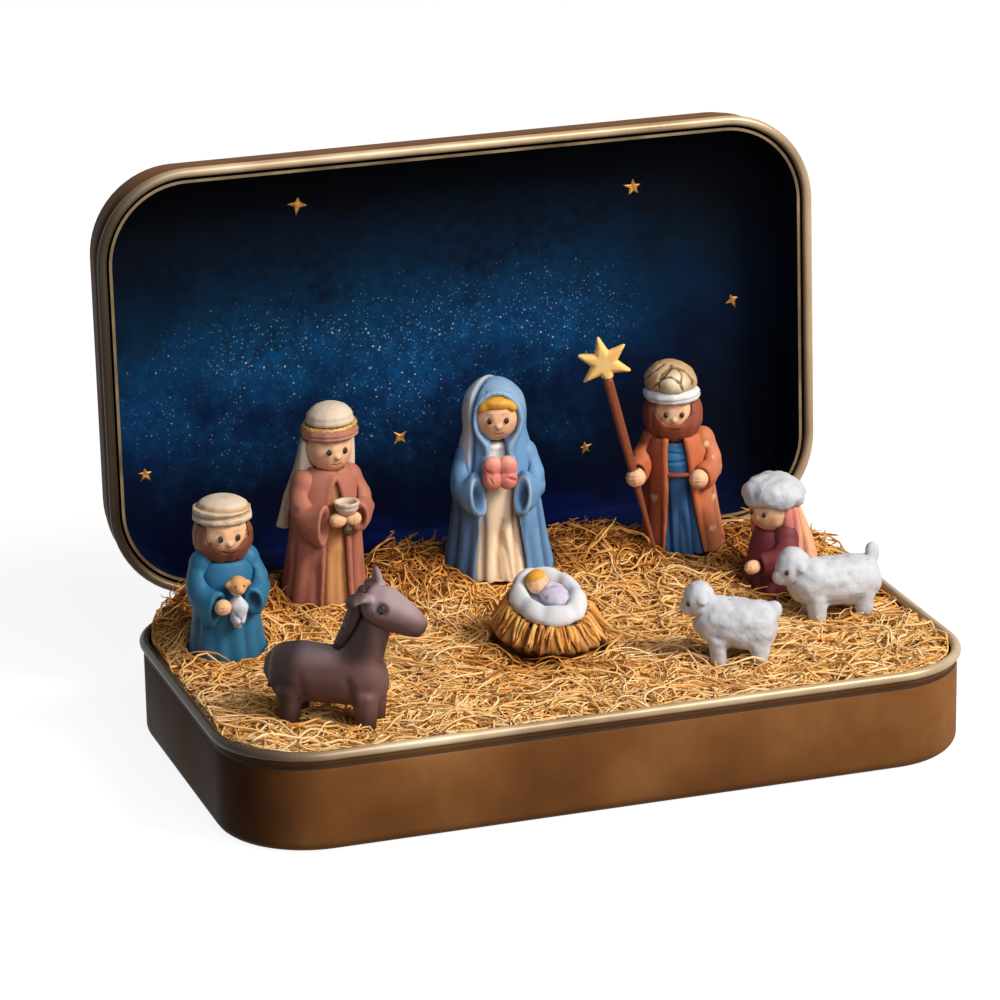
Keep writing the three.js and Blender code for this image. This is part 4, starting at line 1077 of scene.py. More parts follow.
    def pat(self, centre: Point, radii: Point, turns: Point = (0.0, 0.0, 0.0)) -> bpy.types.Object:
        """Rolls a small lump of clay and presses its back flat.

        Args:
            centre: Middle in the figure's own millimetres.
            radii: Half sizes in millimetres.
            turns: Turns about X, Y and Z in degrees.

        Returns:
            The lump, not yet dressed.
        """
        bpy.ops.object.select_all(action="DESELECT")
        bpy.ops.mesh.primitive_uv_sphere_add(segments=20, ring_count=12, radius=MM)
        lump = bpy.context.active_object
        bpy.ops.object.mode_set(mode="EDIT")
        pick(lump, lambda place: place.y > 0.3)
        bpy.ops.transform.resize(value=(1.0, 0.6, 1.0), center_override=(0.0, 0.3 * MM, 0.0))
        bpy.ops.mesh.select_all(action="SELECT")
        bpy.ops.transform.resize(value=radii, center_override=(0.0, 0.0, 0.0))
        bpy.ops.object.mode_set(mode="OBJECT")
        turn = Matrix.LocRotScale(Vector(centre) * MM, Euler(tuple(map(math.radians, turns))), None)
        lump.data.transform(self.place.matrix() @ turn)
        return lump

    def eyes(self, name: str, right: Point, left: Point, radii: Point, turn: float) -> None:
        """Sets a pair of dark eyes, each a small varnished bead.

        Args:
            name: Start of the two names.
            right: Place of the right eye.
            left: Place of the left eye.
            radii: Half sizes of each eye.
            turn: Turn outwards in degrees.
        """
        for word, spot, side in (("right", right, -1), ("left", left, 1)):
            eye = settle(self.pat(spot, radii, (0.0, 0.0, side * turn)), f"{name}_eye_{word}")
            smooth(eye)
            dress(eye, EYE_BLACK.material())
            hand_over(eye, self.body, "clay_mane_brown")

    def coil(self, name: str, centre: Point, radius: float, thickness: float, squeeze: Point,
             finish: bpy.types.Material, slot: str, tilt: Point = (0.0, 0.0, 0.0), twist: int = 0) -> None:
        """Lays a rolled coil of clay in a ring, such as a cord or belt.

        Args:
            name: Name of the piece.
            centre: Middle of the ring in the figure's own millimetres.
            radius: Radius of the ring.
            thickness: Radius of the roll.
            squeeze: Scale along X, Y and Z.
            finish: Its material.
            slot: Material slot of the record.
            tilt: Turns about X, Y and Z in degrees.
            twist: Number of strands twisted into the roll, or 0 for a flattened one.
        """
        bpy.ops.object.select_all(action="DESELECT")
        bpy.ops.mesh.primitive_torus_add(major_radius=radius * MM, minor_radius=thickness * MM,
                                         major_segments=96, minor_segments=12)
        ring = bpy.context.active_object

        def ridge(place: Vector) -> bool:
            """Finds the ridge of a strand round the roll, or the inner half of a plain one."""
            out = math.hypot(place.x, place.y) - radius
            if not twist:
                return out < -0.1 * thickness
            return math.cos(twist * math.atan2(place.y, place.x) + 2 * math.atan2(place.z, out)) > 0.55

        bpy.ops.object.mode_set(mode="EDIT")
        pick(ring, ridge)
        bpy.ops.transform.shrink_fatten(value=thickness * (0.28 if twist else -0.3) * MM)
        bpy.ops.mesh.select_all(action="SELECT")
        bpy.ops.transform.resize(value=squeeze, center_override=(0.0, 0.0, 0.0))
        bpy.ops.object.mode_set(mode="OBJECT")
        turn = Matrix.LocRotScale(Vector(centre) * MM, Euler(tuple(map(math.radians, tilt))), None)
        ring.data.transform(self.place.matrix() @ turn)
        settle(ring, name)
        smooth(ring)
        dress(ring, finish)
        hand_over(ring, self.body, slot)

    def face(self, node: str, head: Head, mouth: bool = True, asleep: bool = False,
             swell_mm: float | None = None) -> None:
        """Models a calm, plain face: eyes at half the head's height, a small nose, a soft mouth, warm cheeks.

        Args:
            node: Solid of the head.
            head: Its middle and half sizes.
            mouth: Whether the mouth shows.
            asleep: Whether the eyes are closed.
            swell_mm: Swelling, where it differs from the figure's.
        """
        size = head.radii[2] / 3
        work = [Spot(head.at(0, -12), (0.62 * size,) * 3, depth=-0.42 * size, soft=1.0)]
        for side in (-1, 1):
            work.append(Spot(head.at(side * 21, 2), (0.7 * size,) * 3, depth=0.1 * size))
            work.append(Spot(head.at(side * 40, -20), (1.2 * size,) * 3, accent=0.42, soft=1.0))
            brow = head.arc((side * 12, 17), (side * 21, 20), (side * 31, 17))
            work.append(Line(brow, 0.14 * size, depth=-0.05 * size, wash_and_shade=0.75))
            if asleep:
                lid = head.arc((side * 13, 3), (side * 21, -1), (side * 29, 3))
                work.append(Line(lid, 0.17 * size, depth=0.12 * size, wash_and_shade=1.0))
        if mouth:
            smile = head.arc((-11, -33), (0, -36), (11, -33))
            work.append(Line(smile, 0.17 * size, depth=0.1 * size, accent=1.0, wash_and_shade=0.25))
        self.clay(node, Clay.SKIN, work, voxel_mm=0.115 * min(1.0, size + 0.3), soft_mm=0.55 * size,
                  swell_mm=swell_mm)
        if not asleep:
            radii = (0.3 * size, 0.22 * size, 0.4 * size)
            self.eyes(node, head.at(-21, 2, 0.04), head.at(21, 2, 0.04), radii, 21)

    def build(self) -> None:
        """Models every piece of the figure."""
        raise NotImplementedError


@dataclass
class Shepherd(ClayFigure):
    """The standing shepherd in a blue robe, who holds a lamb."""

    def build(self) -> None:
        """Models robe, sleeves, hand, head, beard, turban and lamb."""
        front_edge = [(-0.6, -5, 13.2), (-0.2, -5, 9), (-1.2, -5, 0)]
        self.clay("shepherd_robe", Clay.ROBE_BLUE, [
            *folds((-158, -128, -98, -66, -34, 5, 48, 95, 140), 10, 0.75, 0.45),
            Line(front_edge, 0.3, depth=0.2, wash_and_shade=0.5),
            # Painted shade: the robe darkens on its left side, away from the light.
            Side((-1, 0.1, 0), 0.8, soft=4.0, wash_and_shade=0.85),
        ])
        for node, side, droop in (("shepherd_sleeve_left", -1, 2.6), ("shepherd_sleeve_right", 1, 1.2)):
            self.sleeve(node, Clay.ROBE_BLUE, (side * 3.4, -0.4, 12.1), (side * 3.9, -2.2, 9.4),
                        (side * 2.4, -4.7, 8.9), droop, 0.3, [
                            # Painted shade on the left side of each sleeve.
                            Side((-1, 0.3, 0), 2.2, soft=3.2, wash_and_shade=0.75)])
        self.clay("shepherd_hand", Clay.SKIN, [
            Line([(-2.6, -6.9, z), (-1.2, -7.1, z + 0.15)], 0.13, depth=0.14, wash_and_shade=0.6)
            for z in (8.3, 8.75, 9.2)
        ], voxel_mm=0.1, soft_mm=0.2)
        self.face("shepherd_head", Head((0, -0.3, 16.8), (3.2, 3.1, 3.3)), mouth=False)
        strands = [
            Fold(a + 6 * math.sin(3 * a), 12, 14.8 if abs(a + 90) < 52 else 20.5 + math.sin(a),
                 0.32, depth=0.1, wash_and_shade=0.3, drift=16 * math.sin(a))
            for a in range(-174, 180, 23)
        ]
        mouth = [(-0.7, -3.42, 14.95), (0, -3.48, 14.8), (0.7, -3.42, 14.95)]
        self.clay("shepherd_beard", Clay.BROWN_HAIR, [
            *strands, Line(mouth, 0.16, depth=0.12, wash_and_shade=0.95),
        ], voxel_mm=0.14, soft_mm=0.32, crisp=False, cutter=self.pat((0, -3.3, 17.95), (2.8, 2.8, 2.5)))
        self.clay("shepherd_turban", Clay.CREAM, [
            Ring(19.7, 0.2, tilt=(0.04, 0.02), depth=0.3, wash_and_shade=0.35, accent=0.9),
            Ring(20.55, 0.2, tilt=(-0.04, -0.02), depth=0.28, wash_and_shade=0.3, accent=0.9),
            Line([(-3.6, -1, 18.9), (-1.6, -3.6, 19.3), (1.8, -3.4, 18.9)], 0.15, depth=0.1, wash_and_shade=0.4),
        ], voxel_mm=0.12, soft_mm=0.35)
        ears = [
            self.pat((0.3 + side * 1.3, -5.4, 11.5), (0.5, 0.34, 0.36), (0, side * 35, 0))
            for side in (-1, 1)
        ]
        muzzle = self.pat((0.3, -6.45, 10.85), (0.55, 0.5, 0.46))
        self.clay("shepherd_lamb", Clay.WOOL, [
            Side((0, 0, 1), 10.15, soft=0.5, accent=0.95),
            Line([(-0.5, -6, 7.6), (0.3, -6.3, 6.9), (1.1, -6, 7.5)], 0.2, depth=0.16, wash_and_shade=0.5),
            Line([(0.3, -6.4, 6.9), (0.3, -6.1, 5.6)], 0.2, depth=0.22, wash_and_shade=0.5),
        ], [*ears, muzzle], wool_mm=0.08, voxel_mm=0.11, soft_mm=0.4, crisp=False)
        self.eyes("lamb", (-0.25, -6.42, 11.45), (0.85, -6.42, 11.45), (0.13, 0.12, 0.16), 25)


@dataclass
class GiftBearer(ClayFigure):
    """The gift bearer in a mauve coat, with a veil, a cap and a bowl, leaning a little to one side."""

    lean: float = 0.065

    def build(self) -> None:
        """Models gown, coat, sleeves, hands, bowl, pouch, head, veil, cap, headband and cord."""
        lean = self.lean
        shift = lean * 14
        self.clay("bearer_gown", Clay.OCHRE, [
            *folds((-112, -92, -72), 13, 0.45, 0.35, lean=lean),
            # Painted shade: the gown darkens above the waist, under the sleeves, hands and bowl.
            Side((0, 0, 1), 12.2, soft=0.8, wash_and_shade=0.45),
        ])
        edge = [(2.2, -4.64, 0.4), (2.0, -4.28, 4), (1.77, -3.93, 8), (1.55, -3.6, 12), (1.1, -3.3, 15),
                (0.5, -3.05, 16.7), (0.25, -2.6, 17.5)]
        self.clay("bearer_coat", Clay.MAUVE, [
            *folds((-165, -140, -122, -52, -26, 8, 50, 90, 132, 175), 12, 0.7, 0.42, lean=lean),
            Line([(-1.9, -3.2, 17.4), (-1.2, -4, 15.4), (-0.4, -4.4, 13)], 0.25, depth=0.22, wash_and_shade=0.6),
            Line([(3.9, -3.1, 17.2), (3.1, -4, 15.2), (2.3, -4.4, 13)], 0.25, depth=0.22, wash_and_shade=0.6),
            # Painted shade on the coat's left side and towards the hem.
            Side((-1, 0.1, -0.3), -0.6, soft=5.0, wash_and_shade=0.7),
        ], self.hems(edge, lean, 0.34))
        for node, side, droop in (("bearer_sleeve_left", -1, 3.2), ("bearer_sleeve_right", 1, 1.4)):
            self.sleeve(node, Clay.MAUVE, (side * 3.7 + shift, -0.5, 15.5), (side * 4.2 + shift, -2.3, 12.6),
                        (side * 2.4 + shift, -5, 12.9), droop)
        self.clay("bearer_hands", Clay.SKIN, [
            Line([(x + lean * 12, -6.7, 11.9), (x + lean * 12 + 0.1, -6.6, 12.9)], 0.13, depth=0.14,
                 wash_and_shade=0.6)
            for x in (-1.1, -0.6, -0.1, 1.1, 1.6, 2.1)
        ], voxel_mm=0.1, soft_mm=0.2)
        self.clay("bearer_bowl", Clay.CREAM, [
            Ring(14.2, 0.12, depth=0.08, wash_and_shade=0.5),
            Spot((0.7 + lean * 13, -5.4, 14.6), (1.3, 1.3, 0.9), accent=0.9),
        ], voxel_mm=0.1, soft_mm=0.12, swell_mm=0.03)
        self.pouch((lean * 12 + 0.5, -6.0, 11.1))
        self.face("bearer_head", Head((lean * 20.9, -0.4, 20.9), (3.1, 3.0, 3.3)))
        self.clay("bearer_veil", Clay.CREAM, [
            *folds((20, 48, 75, 100, 128, 155, 178), 26, 0.5, 0.36, centre=(0.0, 1.5), lean=lean),
            Ring(10, 0.4, depth=-0.1),
        ])
        self.clay("bearer_cap", Clay.CREAM, [
            Ring(25.0, 0.25, tilt=(0.03, -0.02), depth=0.08, wash_and_shade=0.15),
        ], voxel_mm=0.13, soft_mm=0.5)
        self.clay("bearer_headband", Clay.MAUVE, [
            Ring(23.1, 0.16, tilt=(0.02, 0.03), depth=0.14, wash_and_shade=0.5),
            Band(22.3, 23.6, accent=0.7, soft=0.5),
        ], voxel_mm=0.12, soft_mm=0.3)
        self.coil("bearer_cord", (lean * 24, -0.25, 24.02), 3.3, 0.3, (1.0, 0.97, 1.0), GOLD_CORD.material(),
                  "clay_turban_gold", (1.5, -3.7, 0), twist=26)

    def pouch(self, spot: Point) -> None:
        """Models the small pouch that hangs under the bowl, with a gathered neck.

        Args:
            spot: Middle of its belly in the figure's own millimetres.
        """
        bag = self.pat((0.0, 0.0, 0.0), (0.72, 0.55, 0.9))
        bag.data.transform(self.place.matrix().inverted())
        only(bag)
        bpy.ops.object.mode_set(mode="EDIT")
        pick(bag, lambda place: place.z > 0.45)
        bpy.ops.transform.resize(value=(0.5, 0.6, 1.0), center_override=(0.0, 0.0, 0.6 * MM))
        pick(bag, lambda place: place.z > 0.8)
        bpy.ops.transform.resize(value=(2.6, 2.2, 1.0), center_override=(0.0, 0.0, 0.9 * MM))
        bpy.ops.object.mode_set(mode="OBJECT")
        bag.data.transform(self.place.matrix() @ Matrix.Translation(Vector(spot) * MM))
        settle(bag, "bearer_pouch")
        smooth(bag)
        dress(bag, Clay.POUCH.value.material())
        hand_over(bag, self.body, "clay_mane_brown")


@dataclass
class Mother(ClayFigure):
    """The mother in a blue hooded mantle over a pale dress, with folded hands."""

    veil_side: Point = (-0.78, 0.62, 0.0)
    veil_offset: float = 0.95
    edge: Sequence[Point] = (
        (3.54, -4.47, 0.4), (3.2, -4.3, 4), (2.8, -4.05, 8), (2.4, -3.8, 12), (1.76, -3.7, 16),
        (1.25, -3.65, 18.2), (1.75, -3.8, 19.2), (2.85, -3.5, 20.4), (3.4, -3.0, 22.2), (2.85, -3.05, 24.1),
        (1.55, -3.0, 25.6),
    )

    def build(self) -> None:
        """Models dress, mantle, sleeves, hands, head and hair."""
        self.clay("mother_dress", Clay.DRESS, [
            *folds((-118, -98, -84, -66), 13, 0.5, 0.45, 8),
            Line([(-0.2, -5, 0.4), (-0.6, -4.4, 4), (0.5, -4.2, 8.5)], 0.4, depth=0.3, wash_and_shade=0.4),
            Line([(1.4, -5, 0.4), (0.9, -4.4, 3.4), (0.2, -4.2, 6.5)], 0.35, depth=0.28, wash_and_shade=0.4),
            Side((0, 0, 1), 15.8, soft=0.8, accent=1.0),
            Ring(18.2, 0.3, depth=-0.15),
        ])
        # Painted highlight along the raised front edges of the mantle.
        hem = [
            Line([(side * 3.6, -4.6, 0), (side * 2.5, -4.2, 11), (side * 1.9, -3.7, 17)], 0.35,
                 depth=-0.14, accent=0.4)
            for side in (-1, 1)
        ]
        upper = Side((0, 0, 1), 13.0, soft=4.0)
        layer = Side(self.veil_side, self.veil_offset, soft=0.3)
        seam = Seam(self.veil_side, self.veil_offset - 0.1, soft=0.28)
        right_half = [(-x, y, z) for x, y, z in self.edge]
        around = [*right_half, (0.0, -3.1, 26.1), *reversed(self.edge)]
        self.clay("mother_mantle", Clay.MANTLE, [
            *folds((-160, -140, -122, -56, -38, -18, 30, 62, 92, 120, 150), 16, 0.62, 0.55, wash_and_shade=0.95), *hem,
            Both(layer, upper, depth=-0.25, accent=0.95),
            Both(seam, upper, depth=0.3, wash_and_shade=0.8),
            # Painted highlight along the rolled rim of the hood.
            Line(around, 0.4, accent=0.35),
            # Painted shade on the mantle's left side; painted highlight on the top of the hood, which faces
            # the light.
            Side((-1, 0.1, -0.22), -1.2, soft=5.5, wash_and_shade=0.85),
            Side((0.5, -0.3, 1), 23.5, soft=3.5, accent=0.18),
            Line([(4, -2.6, 19), (5, -2.2, 15), (5.8, -1.8, 10)], 0.35, depth=0.28, wash_and_shade=0.5),
        ], [self.roll(around, 0.3)])
        for node, side in (("mother_sleeve_left", -1), ("mother_sleeve_right", 1)):
            self.sleeve(node, Clay.MANTLE, (side * 4.2, -0.9, 15.9), (side * 4.8, -2.8, 12.7),
                        (side * 2.8, -5.1, 14.1), 3.4, 0.6, [
                            # Painted shade on the left side of each sleeve.
                            Side((-1, 0.2, 0), 3.0, soft=3.5, wash_and_shade=0.6)])
        creases = [
            Line([(0.1, -6.6, 18), (0.1, -6.8, 16), (0.3, -6.8, 13.4)], 0.22, depth=0.32, wash_and_shade=1.0),
            Line([(-2.3, -6.0, 16.3), (-1.0, -6.7, 15.7), (0.1, -6.8, 15.9)], 0.2, depth=0.25, wash_and_shade=0.9),
            Line([(2.3, -6.0, 14.6), (1.1, -6.7, 15.2), (0.2, -6.8, 15.6)], 0.2, depth=0.25, wash_and_shade=0.9),
            Line([(-1.2, -6.6, 17.8), (-1.0, -6.7, 16.2)], 0.14, depth=0.16, wash_and_shade=0.7),
            Line([(1.2, -6.6, 17.6), (1.1, -6.7, 15.8)], 0.14, depth=0.16, wash_and_shade=0.7),
            Line([(-1.4, -6.6, 15.2), (-0.9, -6.7, 13.8)], 0.14, depth=0.14, wash_and_shade=0.6),
        ]
        self.clay("mother_hands", Clay.ROSE, [
            *creases, Side((0, 0, 1), 16.4, soft=1.4, accent=0.6),
            Spot((-1.2, -6.5, 14.8), (0.9, 0.8, 0.9), accent=0.4, soft=1.0),
        ], voxel_mm=0.1, soft_mm=0.32)
        self.face("mother_head", Head((0, -1.4, 22.3), (3.1, 3.0, 3.25)), swell_mm=0.3)
        strands = [
            Line([(1.0, -4.0, 25.7), (x * 0.75 + 0.2, -4.7, 24.9), (x, -4.4, 23.8)], 0.2, depth=0.1,
                 wash_and_shade=0.4)
            for x in (-2.5, -1.5, -0.4, 0.8, 1.8, 2.6)
        ]
        locks = [
            self.pat((side * 1.75, -3.35, 24.2), (1.05, 0.7, 0.62), (0, side * 42, 0))
            for side in (-1, 1)
        ]
        fringe = self.pat((0.0, -3.7, 24.7), (1.7, 0.75, 0.72))
        self.clay("mother_hair", Clay.GOLD_HAIR, [
            # Painted highlight on the front of the fringe.
            *strands, Spot((0.9, -4.6, 24.9), (1.6, 1, 0.8), accent=0.5, soft=1.0),
        ], [*locks, fringe], voxel_mm=0.11, soft_mm=0.35, swell_mm=0.04, crisp=False)


@dataclass
class King(ClayFigure):
    """The king in a rust coat over a navy tunic, with a turban and a star on a staff, leaning a little."""

    lean: float = -0.07
    sprigs: Sequence[tuple[float, float]] = (
        (-148, 3.2), (-135, 8), (-160, 11), (-38, 3.4), (-22, 7.4), (20, 4.6), (60, 8.6), (100, 4), (140, 9),
    )

    def build(self) -> None:
        """Models tunic, coat, sleeves, hands, belt, head, beard, turban, staff and star."""
        lean = self.lean
        self.clay("king_tunic", Clay.NAVY, [
            *folds((-116, -101, -86, -71), 12, 0.4, 0.42, 5, lean=lean),
            Band(12.4, 14.9, accent=0.85, soft=0.3),
            Ring(13.2, 0.14, tilt=(0.12, 0), depth=0.16, wash_and_shade=0.7),
            Ring(14.1, 0.14, tilt=(-0.1, 0), depth=0.16, wash_and_shade=0.7),
        ], swell_mm=-0.12)
        self.coil("king_belt", (lean * 11.2, -0.8, 11.35), 2.72, 0.42, (1.08, 1.03, 0.85),
                  Clay.STAFF.value.material(), "clay_staff_brown")
        edge = [(2.95, -3.84, 0.4), (2.5, -3.75, 4), (2.1, -3.65, 7), (1.85, -3.5, 10), (1.75, -3.35, 13),
                (1.6, -3.1, 15), (1.3, -2.8, 16.3)]
        self.clay("king_coat", Clay.RUST, [
            *folds((-158, -132, -46, -20, 15, 55, 95, 135), 12, 0.65, 0.38, lean=lean), *self.painted(),
            # Painted shade on the coat's left side and painted highlight on its right side, towards the
            # light.
            Side((-1, 0, 0), 1.6, soft=3.0, wash_and_shade=0.85),
            Side((1, 0.1, 0), 1.6, soft=2.6, accent=0.12),
        ], [*self.hems(edge, lean, 0.4), self.pat((-3.6, -2.4, 2.2), (0.9, 0.3, 1.5), (0, 0, -56))])
        shift = lean * 14
        # Painted shade on the back of the left sleeve.
        self.sleeve("king_sleeve_left", Clay.RUST, (-4.6, -0.3, 14.4), (-5.8, -2, 12.4), (-6.4, -3.6, 12),
                    0.8, 0.0, [Side((0, 1, 0), -3.0, soft=2.0, wash_and_shade=0.6)])
        self.sleeve("king_sleeve_right", Clay.RUST, (4 + shift, -0.4, 14.4), (4.6 + shift, -2, 11.8),
                    (3.3 + shift, -4.1, 11.4), 0.8, 0.0, [
            Spot((x + shift, y, z), (0.5, 0.6, 0.55), accent=0.9, soft=0.5)
            for x, y, z in ((4.8, -2.4, 13.4), (5.8, -2.3, 11.6), (4.0, -1.8, 15.2))
        # Painted highlight on the outer side of the right sleeve.
        ] + [Side((1, 0, 0.3), 6.6, soft=2.0, accent=0.12)])
        for node, x in (("king_hand_left", -6.6), ("king_hand_right", 1.8)):
            self.clay(node, Clay.SKIN, [
                Line([(x - 0.8, -6.3, z), (x + 0.3, -6.5, z + 0.1)], 0.12, depth=0.08, wash_and_shade=0.35)
                for z in (11.1, 11.55, 12.0)
            ], voxel_mm=0.1, soft_mm=0.25)
        middle = lean * 19.6
        self.face("king_head", Head((middle, -0.5, 19.6), (3.0, 2.9, 3.1)), mouth=False)
        strands = [
            Fold(a + 6 * math.sin(2 * a), 14.5, 17.6 if abs(a + 90) < 52 else 23.5 + math.sin(a),
                 0.34, depth=0.08, wash_and_shade=0.25, drift=14 * math.sin(a), centre=(middle, 0))
            for a in range(-174, 180, 24)
        ]
        mouth = [(middle - 0.65, -3.54, 17.75), (middle, -3.58, 17.6), (middle + 0.65, -3.54, 17.75)]
        self.clay("king_beard", Clay.BEARD, [
            *strands, Line(mouth, 0.16, depth=0.12, wash_and_shade=0.95),
        ], voxel_mm=0.14, soft_mm=0.32, crisp=False, cutter=self.pat((middle, -3.2, 20.6), (2.6, 2.6, 2.3)))
        self.clay("king_turban_band", Clay.LINEN, [
            Ring(21.95, 0.14, tilt=(0.05, 0.03), depth=0.12, wash_and_shade=0.35),
        ], voxel_mm=0.12, soft_mm=0.35)
        self.turban()
        self.clay("king_staff", Clay.STAFF, [
            Line([(-3.6, -5.4, 0.5), (-9.9, -5.6, 25)], 0.16, depth=0.06, wash_and_shade=0.4),
            Line([(-4.4, -5.2, 3), (-10.4, -5.4, 24)], 0.14, accent=0.5),
            Side((0, 0, -1), -18.0, soft=16.0, depth=0.3),
        ], voxel_mm=0.1, soft_mm=0.2)
        self.clay("king_star", Clay.STAR, [
            Spot((-10.7, -5.7, 27.7), (1.4, 1, 1.4), accent=0.6, soft=1.0),
        ], voxel_mm=0.1, soft_mm=0.2)

    def painted(self) -> list[Touch]:
        """Paints small three-leafed sprigs on the coat."""
        leaves = []
        for angle, height in self.sprigs:
            turn = math.radians(angle)
            x, y = self.lean * height + 5.1 * math.cos(turn), 4.1 * math.sin(turn)
            for aside in (-0.32, 0.32):
                petal = (x - aside * math.sin(turn), y + aside * math.cos(turn), height + 0.16)
                leaves.append(Spot(petal, (0.46, 0.46, 0.5), accent=0.95, soft=0.5))
            leaves.append(Spot((x, y, height - 0.25), (0.36, 0.36, 0.5), accent=0.9, soft=0.5))
        return leaves

    def turban(self) -> None:
        """Models the turban: rolls that wind up the sides and back, and a puffed knot in front."""
        twists = []
        for start in (-10, 35, 80, 125, 170, 215):
            path = []
            for step in range(8):
                rise = step / 7
                angle = math.radians(start + 60 * rise)
                radius = 3.75 * math.sqrt(max(0.0, 1 - (rise * 0.92) ** 2))
                height = 22.9 + 3.4 * rise
                path.append((self.lean * height + radius * math.cos(angle),
                             -0.3 + radius * 0.97 * math.sin(angle), height))
            twists.append(Line(path, 0.2, depth=0.26, wash_and_shade=1.0))

        def front(aside: float, height: float) -> Point:
            """Finds a place on the front of the turban."""
            reach = 14.1 * (1 - ((height - 22.9) / 3.7) ** 2) - aside**2
            return self.lean * height + aside, -0.3 - 0.97 * math.sqrt(max(0.0, reach)), height

        knot = [front(*spot) for spot in ((-1.7, 22.7), (-1.9, 24.0), (-1.2, 25.3), (0.3, 26.1), (1.8, 25.6),
                                          (2.8, 24.3), (3.0, 23.0))]
        wrap = [front(*spot) for spot in ((-1.6, 24.6), (-0.2, 24.9), (1.0, 24.2), (1.5, 22.8))]
        tuck = [front(*spot) for spot in ((0.9, 26.0), (1.3, 25.2), (1.1, 24.2))]
        self.clay("king_turban", Clay.GOLD_TURBAN, [
            # Painted shade in the creases between the rolls and round the knot; painted highlight on the
            # puffed knot.
            *twists, Line(knot, 0.24, depth=0.42, wash_and_shade=1.0),
            Line(wrap, 0.16, depth=0.24, wash_and_shade=1.0), Line(tuck, 0.14, depth=0.2, wash_and_shade=1.0),
            Spot(front(0.5, 24.3), (2.9, 2.4, 2.4), depth=-0.55, accent=1.0, soft=0.9),
        ], voxel_mm=0.11, soft_mm=0.3)


@dataclass
class Kneeler(ClayFigure):
    """The kneeling shepherd in wine red, with a pink scarf and a woolly cap."""

    def build(self) -> None:
        """Models robe, sleeve, hand, head, scarf and cap."""
        self.clay("kneeler_robe", Clay.WINE, [
            *folds((-160, -128, -100, -74, -44, -10, 30, 75, 120, 165), 7, 0.6, 0.42),
            Line([(0, -3.6, 8.6), (0.1, -4.6, 4), (0.2, -5, 0)], 0.3, depth=0.22, wash_and_shade=0.6),
            Ring(0.5, 0.3, accent=0.5),
        ])
        self.sleeve("kneeler_sleeve", Clay.WINE, (2.9, -0.6, 7.2), (3.6, -2.8, 5.4), (2, -4.8, 5), 0.6, 0.0)
        self.clay("kneeler_hand", Clay.SKIN, [
            Line([(1 + i * 0.4, -6.4, 5.6), (0.9 + i * 0.4, -7.3, 5.1)], 0.12, depth=0.12, wash_and_shade=0.5)
            for i in range(3)
        ], voxel_mm=0.1, soft_mm=0.25)
        self.face("kneeler_head", Head((0, -0.6, 11.3), (3.0, 2.9, 2.8)))
        self.clay("kneeler_scarf", Clay.SCARF, [
            *[Fold(a, 3, 20, 0.34, depth=0.3, wash_and_shade=0.5, drift=14 * math.sin(a * 3),
                   centre=(0, 1.0)) for a in range(-20, 220, 24)],
            # Painted highlight on the side of the scarf towards the light.
            Side((0.73, 0.69, 0), 2.4, soft=1.6, accent=0.95),
        ], [self.pat((2.75, 0.2, 10.8), (0.7, 1.5, 2.4))], voxel_mm=0.165, soft_mm=0.5)
        self.clay("kneeler_cap", Clay.WOOL, wool_mm=0.36, voxel_mm=0.15, soft_mm=0.5, crisp=False)


